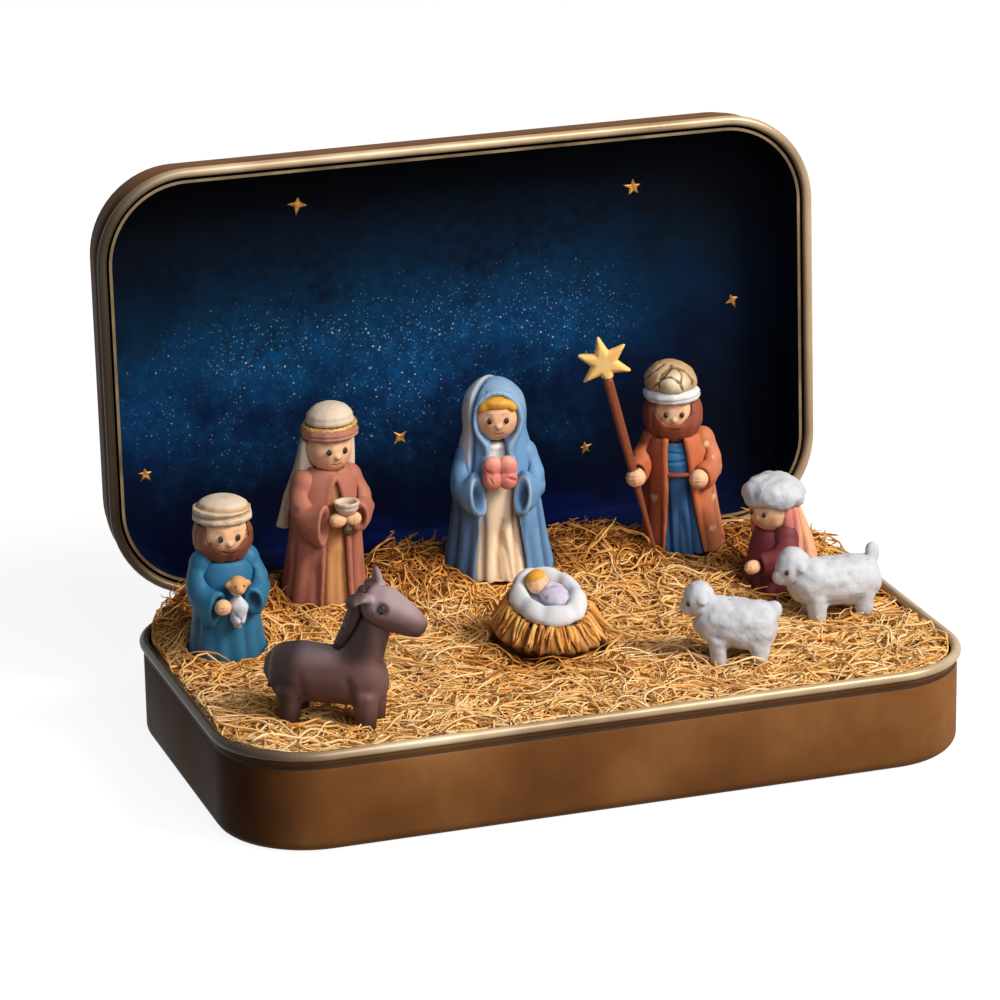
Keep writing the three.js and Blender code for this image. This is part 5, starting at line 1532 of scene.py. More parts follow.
@dataclass
class Manger(ClayFigure):
    """The manger: a ribbed nest tipped to the front, a puffed blanket and the swaddled baby."""

    ribs: int = 22
    reeds: int = 92
    seed: int = 11
    tip_height: float = 0.92
    tip_slope: float = 0.05
    tip_along: tuple[float, float] = (0.59, -0.81)

    def tipped(self, x: float | np.ndarray, y: float | np.ndarray) -> float | np.ndarray:
        """Returns the share of its height that a place keeps: less at the front, more at the back."""
        return self.tip_height - self.tip_slope * (self.tip_along[0] * x + self.tip_along[1] * y)

    def tip(self, x: float, y: float, z: float) -> Point:
        """Moves a place as the tipped nest does."""
        return x, y, z * self.tipped(x, y)

    def build(self) -> None:
        """Models basket, straw, blanket, swaddle, head and hair."""
        tip = self.tip
        reeds = []
        for k in range(self.ribs):
            angle = 360 * (k + 0.5) / self.ribs
            reeds.append(Fold(angle, -6, 14, 0.36, depth=0.36, wash_and_shade=0.75,
                              drift=3 * math.sin(k * 1.7)))
            reeds.append(Fold(angle + 4.2, -6, 14, 0.14, depth=0.12, wash_and_shade=0.4))
            reeds.append(Fold(angle + 8.2, -6, 14, 0.26, accent=0.5))
        # Painted shade under the rim of the nest.
        under = Side((0, 0, -1), -2.9, soft=1.2, wash_and_shade=1.0)
        self.clay("manger_basket", Clay.NEST, [*reeds, under], voxel_mm=0.16, soft_mm=0.25)
        self.straw()
        crease = [tip(-3.6, -3.4, 7.2), tip(-1, -4.6, 6.9), tip(2, -4.4, 7.1)]
        self.clay("manger_blanket", Clay.LINEN, [
            *[Fold(a, 2, 14, 0.8, depth=0.22, wash_and_shade=0.15, drift=10) for a in range(-170, 180, 52)],
            Line(crease, 0.35, depth=0.2, wash_and_shade=0.2),
        ], voxel_mm=0.165, soft_mm=0.5, crisp=False)
        self.clay("baby_swaddle", Clay.SWADDLE, [
            Line([tip(-0.6, -1.3, 9.3), tip(0.8, 0, 9.9), tip(2, 1.3, 9.1)], 0.24, depth=0.16, wash_and_shade=0.6),
            Line([tip(0.6, -1.6, 9), tip(1.8, 0, 9.5), tip(2.8, 1, 8.8)], 0.22, depth=0.14, wash_and_shade=0.6),
            # Painted highlight on the top of the swaddle.
            Spot(tip(0.2, 0, 9.8), (1.2, 1.2, 0.8), accent=0.5, soft=1.0),
        ], voxel_mm=0.09, soft_mm=0.3)
        head = Head(tip(-1.7, 0, 9.2), (1.45, 1.4, 1.28), (-51.0, 0.0, 60.0))
        self.face("baby_head", head, asleep=True)
        hair = settle(self.pat(head.at(0, 90, -0.98), (1.5, 1.5, 1.25), (-51, 0, 60)), "baby_hair")
        apply(hair, "SUBSURF", levels=1, render_levels=1)
        tool(hair, self.place, [
            Line(head.arc((a, 20), (a, 50), (a, 85)), 0.1, depth=0.07, wash_and_shade=0.6) for a in range(0, 360, 24)
        ])
        smooth(hair)
        dress(hair, Clay.GOLD_HAIR.value.material())
        hand_over(hair, self.body, "clay_hair_gold")

    def straw(self) -> None:
        """Lays loose straw from under the blanket over the ribs, with longer wisps on one side."""
        rng = np.random.default_rng(self.seed)
        count = self.reeds
        angle = np.linspace(0, 2 * np.pi, count, endpoint=False) + rng.normal(0, 0.05, count)
        # Wisps reach furthest on one side.
        wisp = np.exp(-((np.angle(np.exp(1j * (angle - 0.63))) / 0.4) ** 2))
        end = rng.uniform(0.45, 0.95, count) + 0.35 * wisp * rng.random(count)
        along = np.linspace(0, 1, 9)
        turn = angle[:, None] + rng.normal(0, 0.1, count)[:, None] * along
        reach = along * end[:, None]
        # Each reed comes out from under the blanket, arches over the rim and hangs down outside.
        out = 4.75 + 3.5 * reach + rng.uniform(0.02, 0.3, count)[:, None]
        hump = 1.5 * np.sin(np.pi * np.minimum(reach * 1.9, 1)) * 0.35
        level = 6.15 + hump - 3.7 * np.maximum(reach - 0.2, 0)
        x, y = out * np.cos(turn), (out - 1.15) * np.sin(turn)
        places = np.stack([x, y, level], axis=2)
        places[..., 2] *= self.tipped(x, y)
        move = np.array(self.place.matrix())
        spine = places @ move[:3, :3].T + move[:3, 3] / MM
        straw = strands_of("manger_straw", rng, spine, rng.normal(0.42, 0.18, count), (0.26, 0.46))
        hand_over(straw, self.body, "wood_wool")


@dataclass
class Sheep(ClayFigure):
    """A small fleecy sheep that faces along its own +X."""

    length: float = 8.6
    drop: float = 0.0
    scale: float = 1.0
    tail: Point = (-4.5, 0.0, 6.9)

    def build(self) -> None:
        """Models body and head."""
        x, z, scale = self.length / 2 + 0.8, 8.3 - self.drop, self.scale
        # Painted shade on the lower body and legs.
        shade_below = Side((0, 0, -1), -2.4, soft=1.6, wash_and_shade=0.3)
        neck = self.pat((x - 1.5, 0, z - 1.3), (1.9, 1.75 * scale, 1.8))
        tail = self.pat(self.tail, (0.95, 0.8, 1.0), (0, -20, 0))
        self.clay(f"{self.body}_body", Clay.WOOL, [shade_below], [neck, tail], wool_mm=0.3, voxel_mm=0.165,
                  soft_mm=0.6, swell_mm=0.22, crisp=False)
        ears = [
            self.pat((x - 0.4, side * 1.8 * scale, z + 0.5), (0.65, 0.42, 0.85), (side * 38, 12, 0))
            for side in (-1, 1)
        ]
        tip = x + 1.4 * scale + 1.2
        lips = [(tip - 0.15, -0.4, z - 1.5), (tip, 0, z - 1.35), (tip - 0.15, 0.4, z - 1.5)]
        self.clay(f"{self.body}_head", Clay.WOOL, [
            Line(lips, 0.12, depth=0.1, wash_and_shade=0.9),
            Spot((tip - 0.2, 0, z - 0.9), (0.5, 0.5, 0.4), accent=0.25, soft=1.0),
        ], ears, wool_mm=0.16, voxel_mm=0.12, soft_mm=0.4, crisp=False)
        right, left = ((x + 1.32 * scale, side * 1.52 * scale, z - 0.1) for side in (-1, 1))
        self.eyes(self.body, right, left, (0.34, 0.26, 0.4), 24)


@dataclass
class Donkey(ClayFigure):
    """The grey-brown donkey, which faces along its own +X."""

    def build(self) -> None:
        """Models body, head and mane."""
        # Painted highlight along the back.
        back = Both(Side((0, 0, 1), 7.8, soft=2.2),
                    Side((-1, 0, 0), -2.5, soft=3), accent=0.6)
        joints = [
            Line([(x, side * 3, 6.6), (x + 0.6, side * 2.8, 3.8)], 0.6, depth=0.25, wash_and_shade=0.35)
            for x in (-3.4, 2.9) for side in (-1, 1)
        ]
        self.clay("donkey_body", Clay.DONKEY, [
            # Painted shade towards the ground and on the rump, which faces away from the light.
            Side((0, 0, -1), -0.9, soft=0.5, wash_and_shade=0.8),
            Side((0, 0, -1), -3.8, soft=3.0, wash_and_shade=0.75), back, *joints,
            Side((-1, 0, 0.15), 4.0, soft=2.6, wash_and_shade=1.0),
            # The neck below the mane is darkened, partly as the mane's colour and partly as painted shade.
            Spot((3.8, -1.0, 12.2), (2.8, 4.5, 4.8), wash_and_shade=1.0, soft=0.55),
        ], soft_mm=0.7, swell_mm=0.22, crisp=False)
        lips = [(10.2, -1.6, 13.0), (11.4, -1.0, 12.75), (12.2, 0, 12.7), (11.4, 1.0, 12.75),
                (10.2, 1.6, 13.0)]
        work = [
            Line(lips, 0.16, depth=0.18, wash_and_shade=0.9),
            Spot((12, 0, 13.0), (1.9, 2.4, 1.7), wash_and_shade=0.7, soft=1.0),
            # Painted highlight on the top of the head.
            Both(Side((0.2, 0, 1), 16.2, soft=2.6),
                 Side((1, 0, 0), 4.6, soft=1.5), accent=0.95),
        ]
        for side in (-1, 1):
            work.append(Spot((11.8, side * 0.75, 13.9), (0.34, 0.3, 0.3), depth=0.22, wash_and_shade=1.0))
            # Painted shade in the eye sockets and the ear cups.
            work.append(Spot((7.3, side * 2.5, 16.4), (1.15, 0.9, 1.2), depth=0.3, wash_and_shade=0.8))
            ear_cup_shade = Spot((4.6, side * 3.5, 17.6), (1.3, 1.6, 1.0), depth=0.4, wash_and_shade=1.0, soft=0.5)
            work.append(Both(ear_cup_shade, Side((1, 0, 0), 4.4, soft=0.5), depth=0.4, wash_and_shade=1.0))
        # The neck below the near ear is darkened, partly as the mane's colour and partly as painted shade.
        work.append(Spot((3.6, -3.4, 17.3), (2.8, 3.0, 2.6), wash_and_shade=0.9, soft=0.6))
        tip = self.pat((5.3, 2.3, 18.7), (0.5, 0.42, 1.8), (0, -12, 0))
        self.clay("donkey_head", Clay.DONKEY, work, [tip], soft_mm=0.45, swell_mm=0.2, crisp=False)
        roots = ((0.6, 9.6), (1.1, 10.6), (1.5, 11.8), (1.8, 13), (2.1, 14.2), (2.4, 15.4), (3.0, 16.8))
        tufts = [
            Line([(x, -1.6, z), (x + 0.5, 0, z + 0.9), (x, 1.6, z)], 0.18, depth=0.22, wash_and_shade=0.7)
            for x, z in roots
        ]
        self.clay("donkey_mane", Clay.MANE, tufts, voxel_mm=0.12, soft_mm=0.5, swell_mm=0.2, crisp=False)
        self.eyes("donkey", (7.3, -2.42, 16.4), (7.3, 2.42, 16.4), (0.5, 0.28, 0.56), 14)


# The tin: pressed shells, rolled rims, hinges, sky liner and straw


@dataclass(frozen=True)
class Outline:
    """The tin's rounded oblong outline in millimetres, over the rolled rim."""

    length: float = 100.0
    width: float = 58.0
    corner: float = 12.5

    def blank(self, inset: float) -> bpy.types.Object:
        """Cuts a flat blank to the outline and leaves it selected in edit mode.

        Args:
            inset: Distance inside the outline.

        Returns:
            The flat blank.
        """
        bpy.ops.object.select_all(action="DESELECT")
        bpy.ops.mesh.primitive_plane_add(size=2 * MM)
        flat = bpy.context.active_object
        bpy.ops.object.mode_set(mode="EDIT")
        bpy.ops.mesh.select_all(action="SELECT")
        bpy.ops.transform.resize(value=(self.length / 2 - inset, self.width / 2 - inset, 1.0))
        bpy.ops.mesh.bevel(offset=(self.corner - inset) * MM, segments=16, affect="VERTICES")
        bpy.ops.mesh.select_all(action="SELECT")
        return flat

    def past(self, places: np.ndarray) -> np.ndarray:
        """Returns how far rows of x and y lie outside the oblong between the corners' middles."""
        reach = np.array([self.length / 2 - self.corner, self.width / 2 - self.corner])
        return places - np.clip(places, -reach, reach)

    def inside(self, places: np.ndarray, inset: float) -> np.ndarray:
        """Moves places that lie outside the inset outline back to it.

        Args:
            places: Rows of x and y, and perhaps z.
            inset: Distance inside the outline.

        Returns:
            The moved places.
        """
        out = self.past(places[:, :2])
        far = np.maximum(np.linalg.norm(out, axis=1), 1e-9)
        kept = places.copy()
        kept[:, :2] += out * (np.minimum(1.0, (self.corner - inset) / far) - 1)[:, None]
        return kept


OUTLINE = Outline()


@dataclass
class PressedShell:
    """A tray drawn from one sheet: round bottom edge, pressed line, rolled rim, perhaps a stepped wall."""

    depth: float
    line_below: float
    line_half: float
    line_depth: float
    step: float = 0.0
    step_height: float = 3.4
    step_rise: float = 0.6
    wall: float = 0.5
    sheet: float = 0.45
    rim: float = 0.65
    edge: float = 1.6

    def draw(self) -> bpy.types.Object:
        """Draws the sheet over the die, rolls its rim and wears its finish.

        Returns:
            The open shell, standing on its closed side at the origin.
        """
        shell = OUTLINE.blank(self.wall + self.step)
        line = self.depth - self.line_below
        sunk = {line + self.line_half * at: self.line_depth * share
                for at, share in ((-1.35, 0.0), (-0.75, 0.45), (0.0, 1.0), (0.75, 0.45), (1.35, 0.0))}
        heights = [self.step_height, self.step_height + self.step_rise] if self.step else []
        level = 0.0
        for height in [*heights, *sunk, self.depth - self.rim]:
            rise = (0.0, 0.0, (height - level) * MM)
            bpy.ops.mesh.extrude_region_move(TRANSFORM_OT_translate={"value": rise})
            level = height
        bpy.ops.mesh.select_all(action="SELECT")
        bpy.ops.mesh.normals_make_consistent(inside=False)
        pick(shell, lambda place: place.z > level - NEAR)
        bpy.ops.mesh.delete(type="ONLY_FACE")
        if self.step:
            pick(shell, lambda place: place.z > self.step_height + self.step_rise / 2)
            bpy.ops.transform.shrink_fatten(value=self.step * MM)
        for height, depth in sunk.items():
            if depth:
                pick(shell, lambda place, at=height: abs(place.z - at) < NEAR)
                bpy.ops.transform.shrink_fatten(value=-depth * MM)
        pick(shell, lambda place: place.z < NEAR)
        bpy.ops.mesh.bevel(offset=self.edge * MM, segments=6, affect="EDGES")
        bpy.ops.object.mode_set(mode="OBJECT")
        apply(shell, "SOLIDIFY", thickness=self.sheet * MM, offset=-1.0, use_even_offset=True)
        dress(shell, BRONZE.material(), WORN_RIM.material(), GROOVE_SHADE.material())
        # Painted shade: the faces of the pressed line get the nearly black colour.
        paint(shell, 2, lambda place: abs(place.z - line) < self.line_half * 0.8)
        return self.roll_rim(shell)

    def roll_rim(self, shell: bpy.types.Object) -> bpy.types.Object:
        """Rolls the edge of the sheet over into a bead."""
        bead = OUTLINE.blank(self.rim)
        bpy.ops.transform.translate(value=(0.0, 0.0, (self.depth - self.rim) * MM))
        bpy.ops.mesh.delete(type="ONLY_FACE")
        bpy.ops.object.mode_set(mode="OBJECT")
        only(bead)
        bpy.ops.object.convert(target="CURVE")
        bead = bpy.context.active_object
        bead.data.bevel_depth = self.rim * MM
        bead.data.bevel_resolution = 5
        bpy.ops.object.convert(target="MESH")
        bead = bpy.context.active_object
        dress(bead, WORN_RIM.material())
        return fuse([shell, bead])


@dataclass
class Hinge:
    """The pair of rolled-knuckle hinges on the rear wall."""

    y: float = 29.9
    z: float = 13.2
    spread: float = 30.0
    radius: float = 0.75
    bore: float = 0.48
    length: float = 3.8
    gap: float = 0.3
    open_degrees: float = 92.0
    leaf: tuple[float, float] = (1.1, 3.45)
    leaf_edge: float = 0.16
    leaf_out: float = 0.95
    leaf_drop: float = 2.175
    wire: float = 0.4
    head_share: float = 1.65
    head_length: float = 0.36
    head_crown: float = 0.14

    def lid_matrix(self) -> Matrix:
        """Returns the move of the lid from lying open on its back to standing up."""
        axis = Matrix.Translation(Vector((0.0, self.y, self.z)) * MM)
        return axis @ Matrix.Rotation(math.radians(180 - self.open_degrees), 4, "X")

    def knuckle(self, x: float, y: float, z: float, side: int) -> bpy.types.Object:
        """Rolls one knuckle and bends its leaf down against the wall.

        Args:
            x: Middle along the axis in millimetres.
            y: Axis across the tin.
            z: Axis height.
            side: 1 where the wall stands towards +Y, or else -1.

        Returns:
            The knuckle with its leaf.
        """
        bpy.ops.object.select_all(action="DESELECT")
        bpy.ops.mesh.primitive_cylinder_add(
            vertices=28, radius=self.radius * MM, depth=self.length * MM, end_fill_type="NOTHING",
            rotation=(0.0, math.pi / 2, 0.0), location=Vector((x, y, z)) * MM)
        roll = settle(bpy.context.active_object, "knuckle")
        apply(roll, "SOLIDIFY", thickness=(self.radius - self.bore) * MM, offset=-1.0)
        bpy.ops.object.select_all(action="DESELECT")
        bpy.ops.mesh.primitive_cube_add(size=MM)
        leaf = bpy.context.active_object
        bpy.ops.object.mode_set(mode="EDIT")
        bpy.ops.mesh.select_all(action="SELECT")
        bpy.ops.transform.resize(value=(self.length, *self.leaf))
        bpy.ops.mesh.bevel(offset=self.leaf_edge * MM, segments=2, affect="EDGES")
        bpy.ops.mesh.select_all(action="SELECT")
        bpy.ops.transform.translate(value=Vector((x, y + side * self.leaf_out, z - self.leaf_drop)) * MM)
        bpy.ops.object.mode_set(mode="OBJECT")
        for piece in (roll, leaf):
            dress(piece, BRONZE.material())
        return fuse([roll, leaf])

    def pin(self, name: str, side: int) -> None:
        """Models one wire pin with upset heads.

        Args:
            name: Solid of the pin.
            side: -1 for the left hinge, or 1 for the right.
        """
        reach = self.length * 1.5 + self.gap * 2
        bpy.ops.object.select_all(action="DESELECT")
        bpy.ops.mesh.primitive_cylinder_add(vertices=24, radius=self.wire * MM, depth=2 * reach * MM)
        wire = bpy.context.active_object
        bpy.ops.object.mode_set(mode="EDIT")
        for end in (-1, 1):
            pick(wire, lambda place, e=end: place.z * e > reach - NEAR)
            for rise, share in ((0.0, self.head_share), (self.head_length, 1.0), (self.head_crown, 0.7)):
                step = (0.0, 0.0, end * rise * MM)
                bpy.ops.mesh.extrude_region_move(TRANSFORM_OT_translate={"value": step})
                bpy.ops.transform.resize(value=(share, share, 1.0))
        bpy.ops.mesh.select_all(action="SELECT")
        bpy.ops.mesh.normals_make_consistent(inside=False)
        bpy.ops.object.mode_set(mode="OBJECT")
        wire.rotation_euler = (0.0, math.pi / 2, 0.0)
        wire.location = Vector((side * self.spread, self.y, self.z)) * MM
        settle(wire, f"{name}_wire")
        smooth(wire, 40)
        dress(wire, STEEL_WIRE.material())
        hand_over(wire, "tin_base", "hinge_wire", name)


@dataclass
class Tin:
    """The tin itself: tray, lid, hinges, painted liner and gold stars."""

    base: PressedShell = field(default_factory=lambda: PressedShell(13.4, 2.1, 0.4, 0.3))
    lid: PressedShell = field(default_factory=lambda: PressedShell(9.6, 2.5, 0.8, 0.4, step=0.4))
    hinge: Hinge = field(default_factory=Hinge)
    back: float = -10.0
    liner_inset: float = 1.65
    liner_wall: float = 8.15
    liner_floor: float = 0.75
    liner_sheet: float = 0.4
    liner_edge: float = 1.4
    foil_floor: float = 1.17
    seed: int = 7
    stars: Sequence[tuple[float, float, float, int]] = (
        (-20.5, 50.7, 1.5, 4), (27.1, 48.5, 1.5, 5), (41.3, 31.2, 1.35, 4), (19.3, 12.5, 1.2, 5),
        (-7.3, 17.0, 1.35, 4), (-43.1, 16.0, 1.3, 5),
    )

    def build(self) -> None:
        """Models tray, lid, pins, liner and stars."""
        hinge = self.hinge
        tray = self.base.draw()
        outer = [hinge.knuckle(side * hinge.spread + end * (hinge.length + hinge.gap), hinge.y, hinge.z, -1)
                 for side in (-1, 1) for end in (-1, 1)]
        tray = settle(fuse([tray, *outer]), "base_tray_tinplate")
        smooth(tray, 40)
        hand_over(tray, "tin_base", "bronzed_tinplate", "base_tray")
        lid = self.lid.draw()
        lid.data.transform(Matrix.Translation(Vector((0.0, hinge.y, self.back)) * MM))
        inner = [hinge.knuckle(side * hinge.spread, 0.0, 0.0, 1) for side in (-1, 1)]
        lid = fuse([lid, *inner])
        lid.data.transform(hinge.lid_matrix())
        settle(lid, "lid_shell_tinplate")
        smooth(lid, 40)
        hand_over(lid, "lid", "bronzed_tinplate", "lid_shell")
        hinge.pin("hinge_pin_left", -1)
        hinge.pin("hinge_pin_right", 1)
        self.line()
        rng = np.random.default_rng(self.seed)
        for number, (x, y, size, rays) in enumerate(self.stars):
            self.star(f"foil_star_{number + 1}", x, y, size, rays, rng)

    def line(self) -> None:
        """Folds the painted card into the lid."""
        top = self.liner_wall
        brim = top - 0.05
        card = OUTLINE.blank(self.liner_inset)
        bpy.ops.mesh.extrude_region_move(TRANSFORM_OT_translate={"value": (0.0, 0.0, top * MM)})
        bpy.ops.mesh.select_all(action="SELECT")
        bpy.ops.mesh.normals_make_consistent(inside=False)
        pick(card, lambda place: place.z > brim)
        bpy.ops.mesh.delete(type="ONLY_FACE")
        pick(card, lambda place: place.z < NEAR)
        bpy.ops.mesh.bevel(offset=self.liner_edge * MM, segments=6, affect="EDGES")
        bpy.ops.object.mode_set(mode="OBJECT")
        apply(card, "SOLIDIFY", thickness=self.liner_sheet * MM, offset=-1.0, use_even_offset=True)
        dress(card, NightSkyFinish().material(), CARD_EDGE.material())
        paint(card, 1, lambda place: place.z > brim)
        spot = Matrix.Translation(Vector((0.0, self.hinge.y, self.back + self.liner_floor)) * MM)
        card.data.transform(self.hinge.lid_matrix() @ spot)
        settle(card, "sky_liner_card")
        smooth(card, 40)
        hand_over(card, "lid", "sky_card", "sky_liner")

    def star(self, name: str, x: float, y: float, size: float, rays: int, rng: np.random.Generator) -> None:
        """Cuts an uneven star from foil and lays it on the card.

        Args:
            name: Name of the piece.
            x: Place along the lid in millimetres.
            y: Place from the hinge axis up the lid.
            size: Reach of its longest ray.
            rays: Number of rays.
            rng: Seeded source of chance for the rays' lengths.
        """
        bpy.ops.object.select_all(action="DESELECT")
        bpy.ops.mesh.primitive_circle_add(vertices=rays * 2, radius=size * MM, fill_type="NGON")
        foil = bpy.context.active_object
        corners = [vert.co / MM for vert in foil.data.vertices]
        bpy.ops.object.mode_set(mode="EDIT")
        for number, corner in enumerate(corners):
            reach = rng.uniform(0.62, 1.0) if number % 2 else rng.uniform(0.3, 0.42)
            pick(foil, lambda place, c=corner: (place - c).length < NEAR)
            bpy.ops.transform.resize(value=(reach, reach, 1.0), center_override=(0.0, 0.0, 0.0))
        bpy.ops.mesh.select_all(action="SELECT")
        bpy.ops.mesh.inset(thickness=size * 0.1 * MM, depth=0.09 * MM)
        bpy.ops.mesh.select_all(action="SELECT")
        turn = rng.uniform(0, math.pi)
        bpy.ops.transform.rotate(value=turn, orient_axis="Z", center_override=(0.0, 0.0, 0.0))
        bpy.ops.object.mode_set(mode="OBJECT")
        spot = Matrix.Translation(Vector((x, y, self.back + self.foil_floor)) * MM)
        foil.data.transform(self.hinge.lid_matrix() @ spot)
        settle(foil, name)
        dress(foil, GOLD_LEAF.material())
        hand_over(foil, "lid", "clay_star_gold")


def mounds(x: np.ndarray, y: np.ndarray, spots: Sequence[tuple[float, ...]]) -> np.ndarray:
    """Adds up soft round mounds, each with its middle, height and reach in millimetres."""
    return sum(tall * np.exp(-((x - mx) ** 2 + (y - my) ** 2) / reach**2) for mx, my, tall, reach in spots)


@dataclass
class StrawBed:
    """The wood-wool: a matted pad and thousands of curled strands laid over it."""

    feet: Sequence[tuple[float, ...]]
    seed: int = 25
    strands: int = 9200
    pieces: int = 4
    rings: int = 9
    spread: tuple[float, float] = (48.0, 27.0)
    ringed_share: float = 0.1
    ring_reach: float = 1.12
    combed_share: float = 0.62
    tall_share: float = 0.15
    tall_lengths: tuple[float, float] = (4.0, 8.0)
    hub_spread: float = 3.0
    lengths: tuple[float, float] = (4.0, 13.0)
    half_widths: tuple[float, float] = (0.09, 0.22)
    inset: float = 1.75
    level: float = 12.2
    rise: float = 3.3
    rise_from: float = 6.0
    rise_over: float = 16.0
    tuft: float = 0.3
    wall: float = 1.65
    pad_voxel: float = 0.58
    pad_grain: float = 1.1
    pad_relief: float = 1.2
    pad_tone: float = 0.45
    edge: float = 6.0
    rear_share: float = 0.55
    heaps: Sequence[tuple[float, float, float, float]] = (
        (-11.0, 25.0, 2.2, 8.0), (15.0, 25.0, 1.9, 7.0), (-38.0, 24.0, 1.2, 7.0), (26.0, 6.0, 1.3, 5.0),
    )
    dips: Sequence[tuple[float, float, float, float]] = (
        (-5.9, -6.4, 0.5, 4.6), (32.4, 13.2, 0.6, 4.0), (-33.7, -16.5, 0.2, 5.0), (21.6, -13.6, 0.2, 3.6),
        (39.0, -2.6, 0.3, 4.4), (46.5, 5.0, 0.4, 6.0),
    )
    hubs: Sequence[tuple[float, float]] = (
        (-11.0, 25.5), (15.0, 25.5), (-38.0, 24.0), (26.0, 6.0), (42.0, 20.0), (9.0, 26.0),
    )

    def height(self, x: np.ndarray, y: np.ndarray) -> np.ndarray:
        """Gives the height of the pad's top: level in front, rising to the back, lower towards the ends."""
        rise = self.rise * ease((y - self.rise_from) / self.rise_over)
        heaps = mounds(x, y, self.heaps)
        past = OUTLINE.past(np.stack([x, y], axis=1))
        far = np.hypot(past[:, 0], self.rear_share * np.maximum(past[:, 1], 0))
        inward = ease((OUTLINE.corner - self.wall - far + self.edge / 2) / (1.5 * self.edge))
        waves = self.tuft * np.sin(0.61 * x + 0.23 * y) * np.cos(0.47 * y - 0.17 * x)
        return self.level + (rise + heaps) * inward + waves - self.pressed(x, y)

    def pressed(self, x: np.ndarray, y: np.ndarray) -> np.ndarray:
        """Gives the depth of the dips that the figures have pressed into the straw."""
        return mounds(x, y, self.dips)

    def clear(self, spine: np.ndarray, margin: np.ndarray) -> tuple[np.ndarray, np.ndarray]:
        """Moves each strand as a whole out from under the figures.

        Args:
            spine: Middle lines of the strands: strand, ring, axis.
            margin: Gap of each strand to a foot.

        Returns:
            The moved strands, and how near to a foot each of their points lies, from 0 to 1.
        """
        moved = spine.copy()
        near = np.zeros(spine.shape[:2])
        rows = np.arange(len(spine))
        for x, y, half_width, half_depth, turn in self.feet:
            cos, sin = math.cos(math.radians(turn)), math.sin(math.radians(turn))
            spin = np.array([[cos, -sin], [sin, cos]])
            own = (moved[..., :2] - (x, y)) @ spin
            size = np.stack([half_width + margin, half_depth + margin], axis=1)
            reach = np.linalg.norm(own / size[:, None, :], axis=2)
            deepest = reach.argmin(axis=1)
            share = np.maximum(0.0, 1 / np.maximum(reach[rows, deepest], 0.2) - 1)
            shift = (own[rows, deepest] * share[:, None]) @ spin.T
            moved[..., :2] += shift[:, None, :]
            own += (shift @ spin)[:, None, :]
            gap = (np.linalg.norm(own / (half_width, half_depth), axis=2) - 1) * half_depth
            near = np.maximum(near, np.exp(-((gap / 1.1) ** 2)))
        return moved, near

    def build(self) -> None:
        """Models the pad and the strands."""
        self.pad()
        rng = np.random.default_rng(self.seed)
        for number in range(self.pieces):
            self.lay(f"straw_strands_{number + 1}", rng, self.strands // self.pieces, upright=number % 2 == 1)

    def pad(self) -> None:
        """Roughens the pad that the strands lie on."""
        pad = copy_of("straw_bed", "straw_pad")
        apply(pad, "REMESH", mode="VOXEL", voxel_size=self.pad_voxel * MM)
        pattern = bpy.data.textures.new("matted wood-wool", "CLOUDS")
        pattern.noise_scale = self.pad_grain * MM
        apply(pad, "DISPLACE", texture=pattern, texture_coords="LOCAL", strength=self.pad_relief * MM,
              mid_level=0.85)
        layer = pad.data.attributes.new("tone", "FLOAT", "POINT")
        layer.data.foreach_set("value", np.full(len(pad.data.vertices), self.pad_tone, np.float32))
        smooth(pad)
        dress(pad, STRAW_MAT.material())
        hand_over(pad, "tin_base", "wood_wool", "straw_bed")

    def lay(self, name: str, rng: np.random.Generator, count: int, upright: bool) -> None:
        """Lays a share of the strands as one piece.

        Args:
            name: Name of the piece.
            rng: Seeded source of chance.
            count: Number of strands.
            upright: Whether some strands stand up out of the heaps.
        """
        rings = self.rings
        along = np.linspace(-0.5, 0.5, rings)
        # Where each strand lies: all over the bed, or in a ring round a foot.
        start = np.stack([rng.uniform(-far, far, count) for far in self.spread], axis=1)
        feet = np.array(self.feet)[rng.integers(0, len(self.feet), count)]
        around = rng.uniform(0, 2 * np.pi, count)
        way = np.stack([np.cos(around), np.sin(around)], axis=1)
        ringed = feet[:, :2] + feet[:, 2:4] * self.ring_reach * way
        start = np.where((rng.random(count) < self.ringed_share)[:, None], ringed, start)
        # How it lies: most follow a slow swirl, and each has its own length, curl, lift and waves.
        flow = 2.4 * np.sin(0.13 * start[:, 0] + 0.9) + 2.1 * np.cos(0.19 * start[:, 1] + 0.11 * start[:, 0])
        combed = rng.random(count) < self.combed_share
        swept = flow + rng.normal(0, 0.55, count)
        heading = np.where(combed, swept, rng.uniform(0, 6.3, count))
        length = rng.uniform(*self.lengths, count)
        curl = rng.normal(0, 2.0, count)
        lift = rng.beta(2, 3, count) * 1.9 - 0.7
        wave = rng.uniform(0.2, 0.9, count)
        turns = rng.uniform(0.8, 2.2, count)
        phase = rng.uniform(0, 2 * np.pi, count)
        arch = rng.normal(0.0, 0.5, count)
        steep = np.zeros(count)
        if upright:
            tall = rng.random(count) < self.tall_share
            hub = np.array(self.hubs)[rng.integers(0, len(self.hubs), count)]
            hub += rng.normal(0, self.hub_spread, (count, 2))
            start[tall] = hub[tall]
            steep[tall] = rng.uniform(0.1, 0.55, tall.sum())
            length[tall] = rng.uniform(*self.tall_lengths, tall.sum())
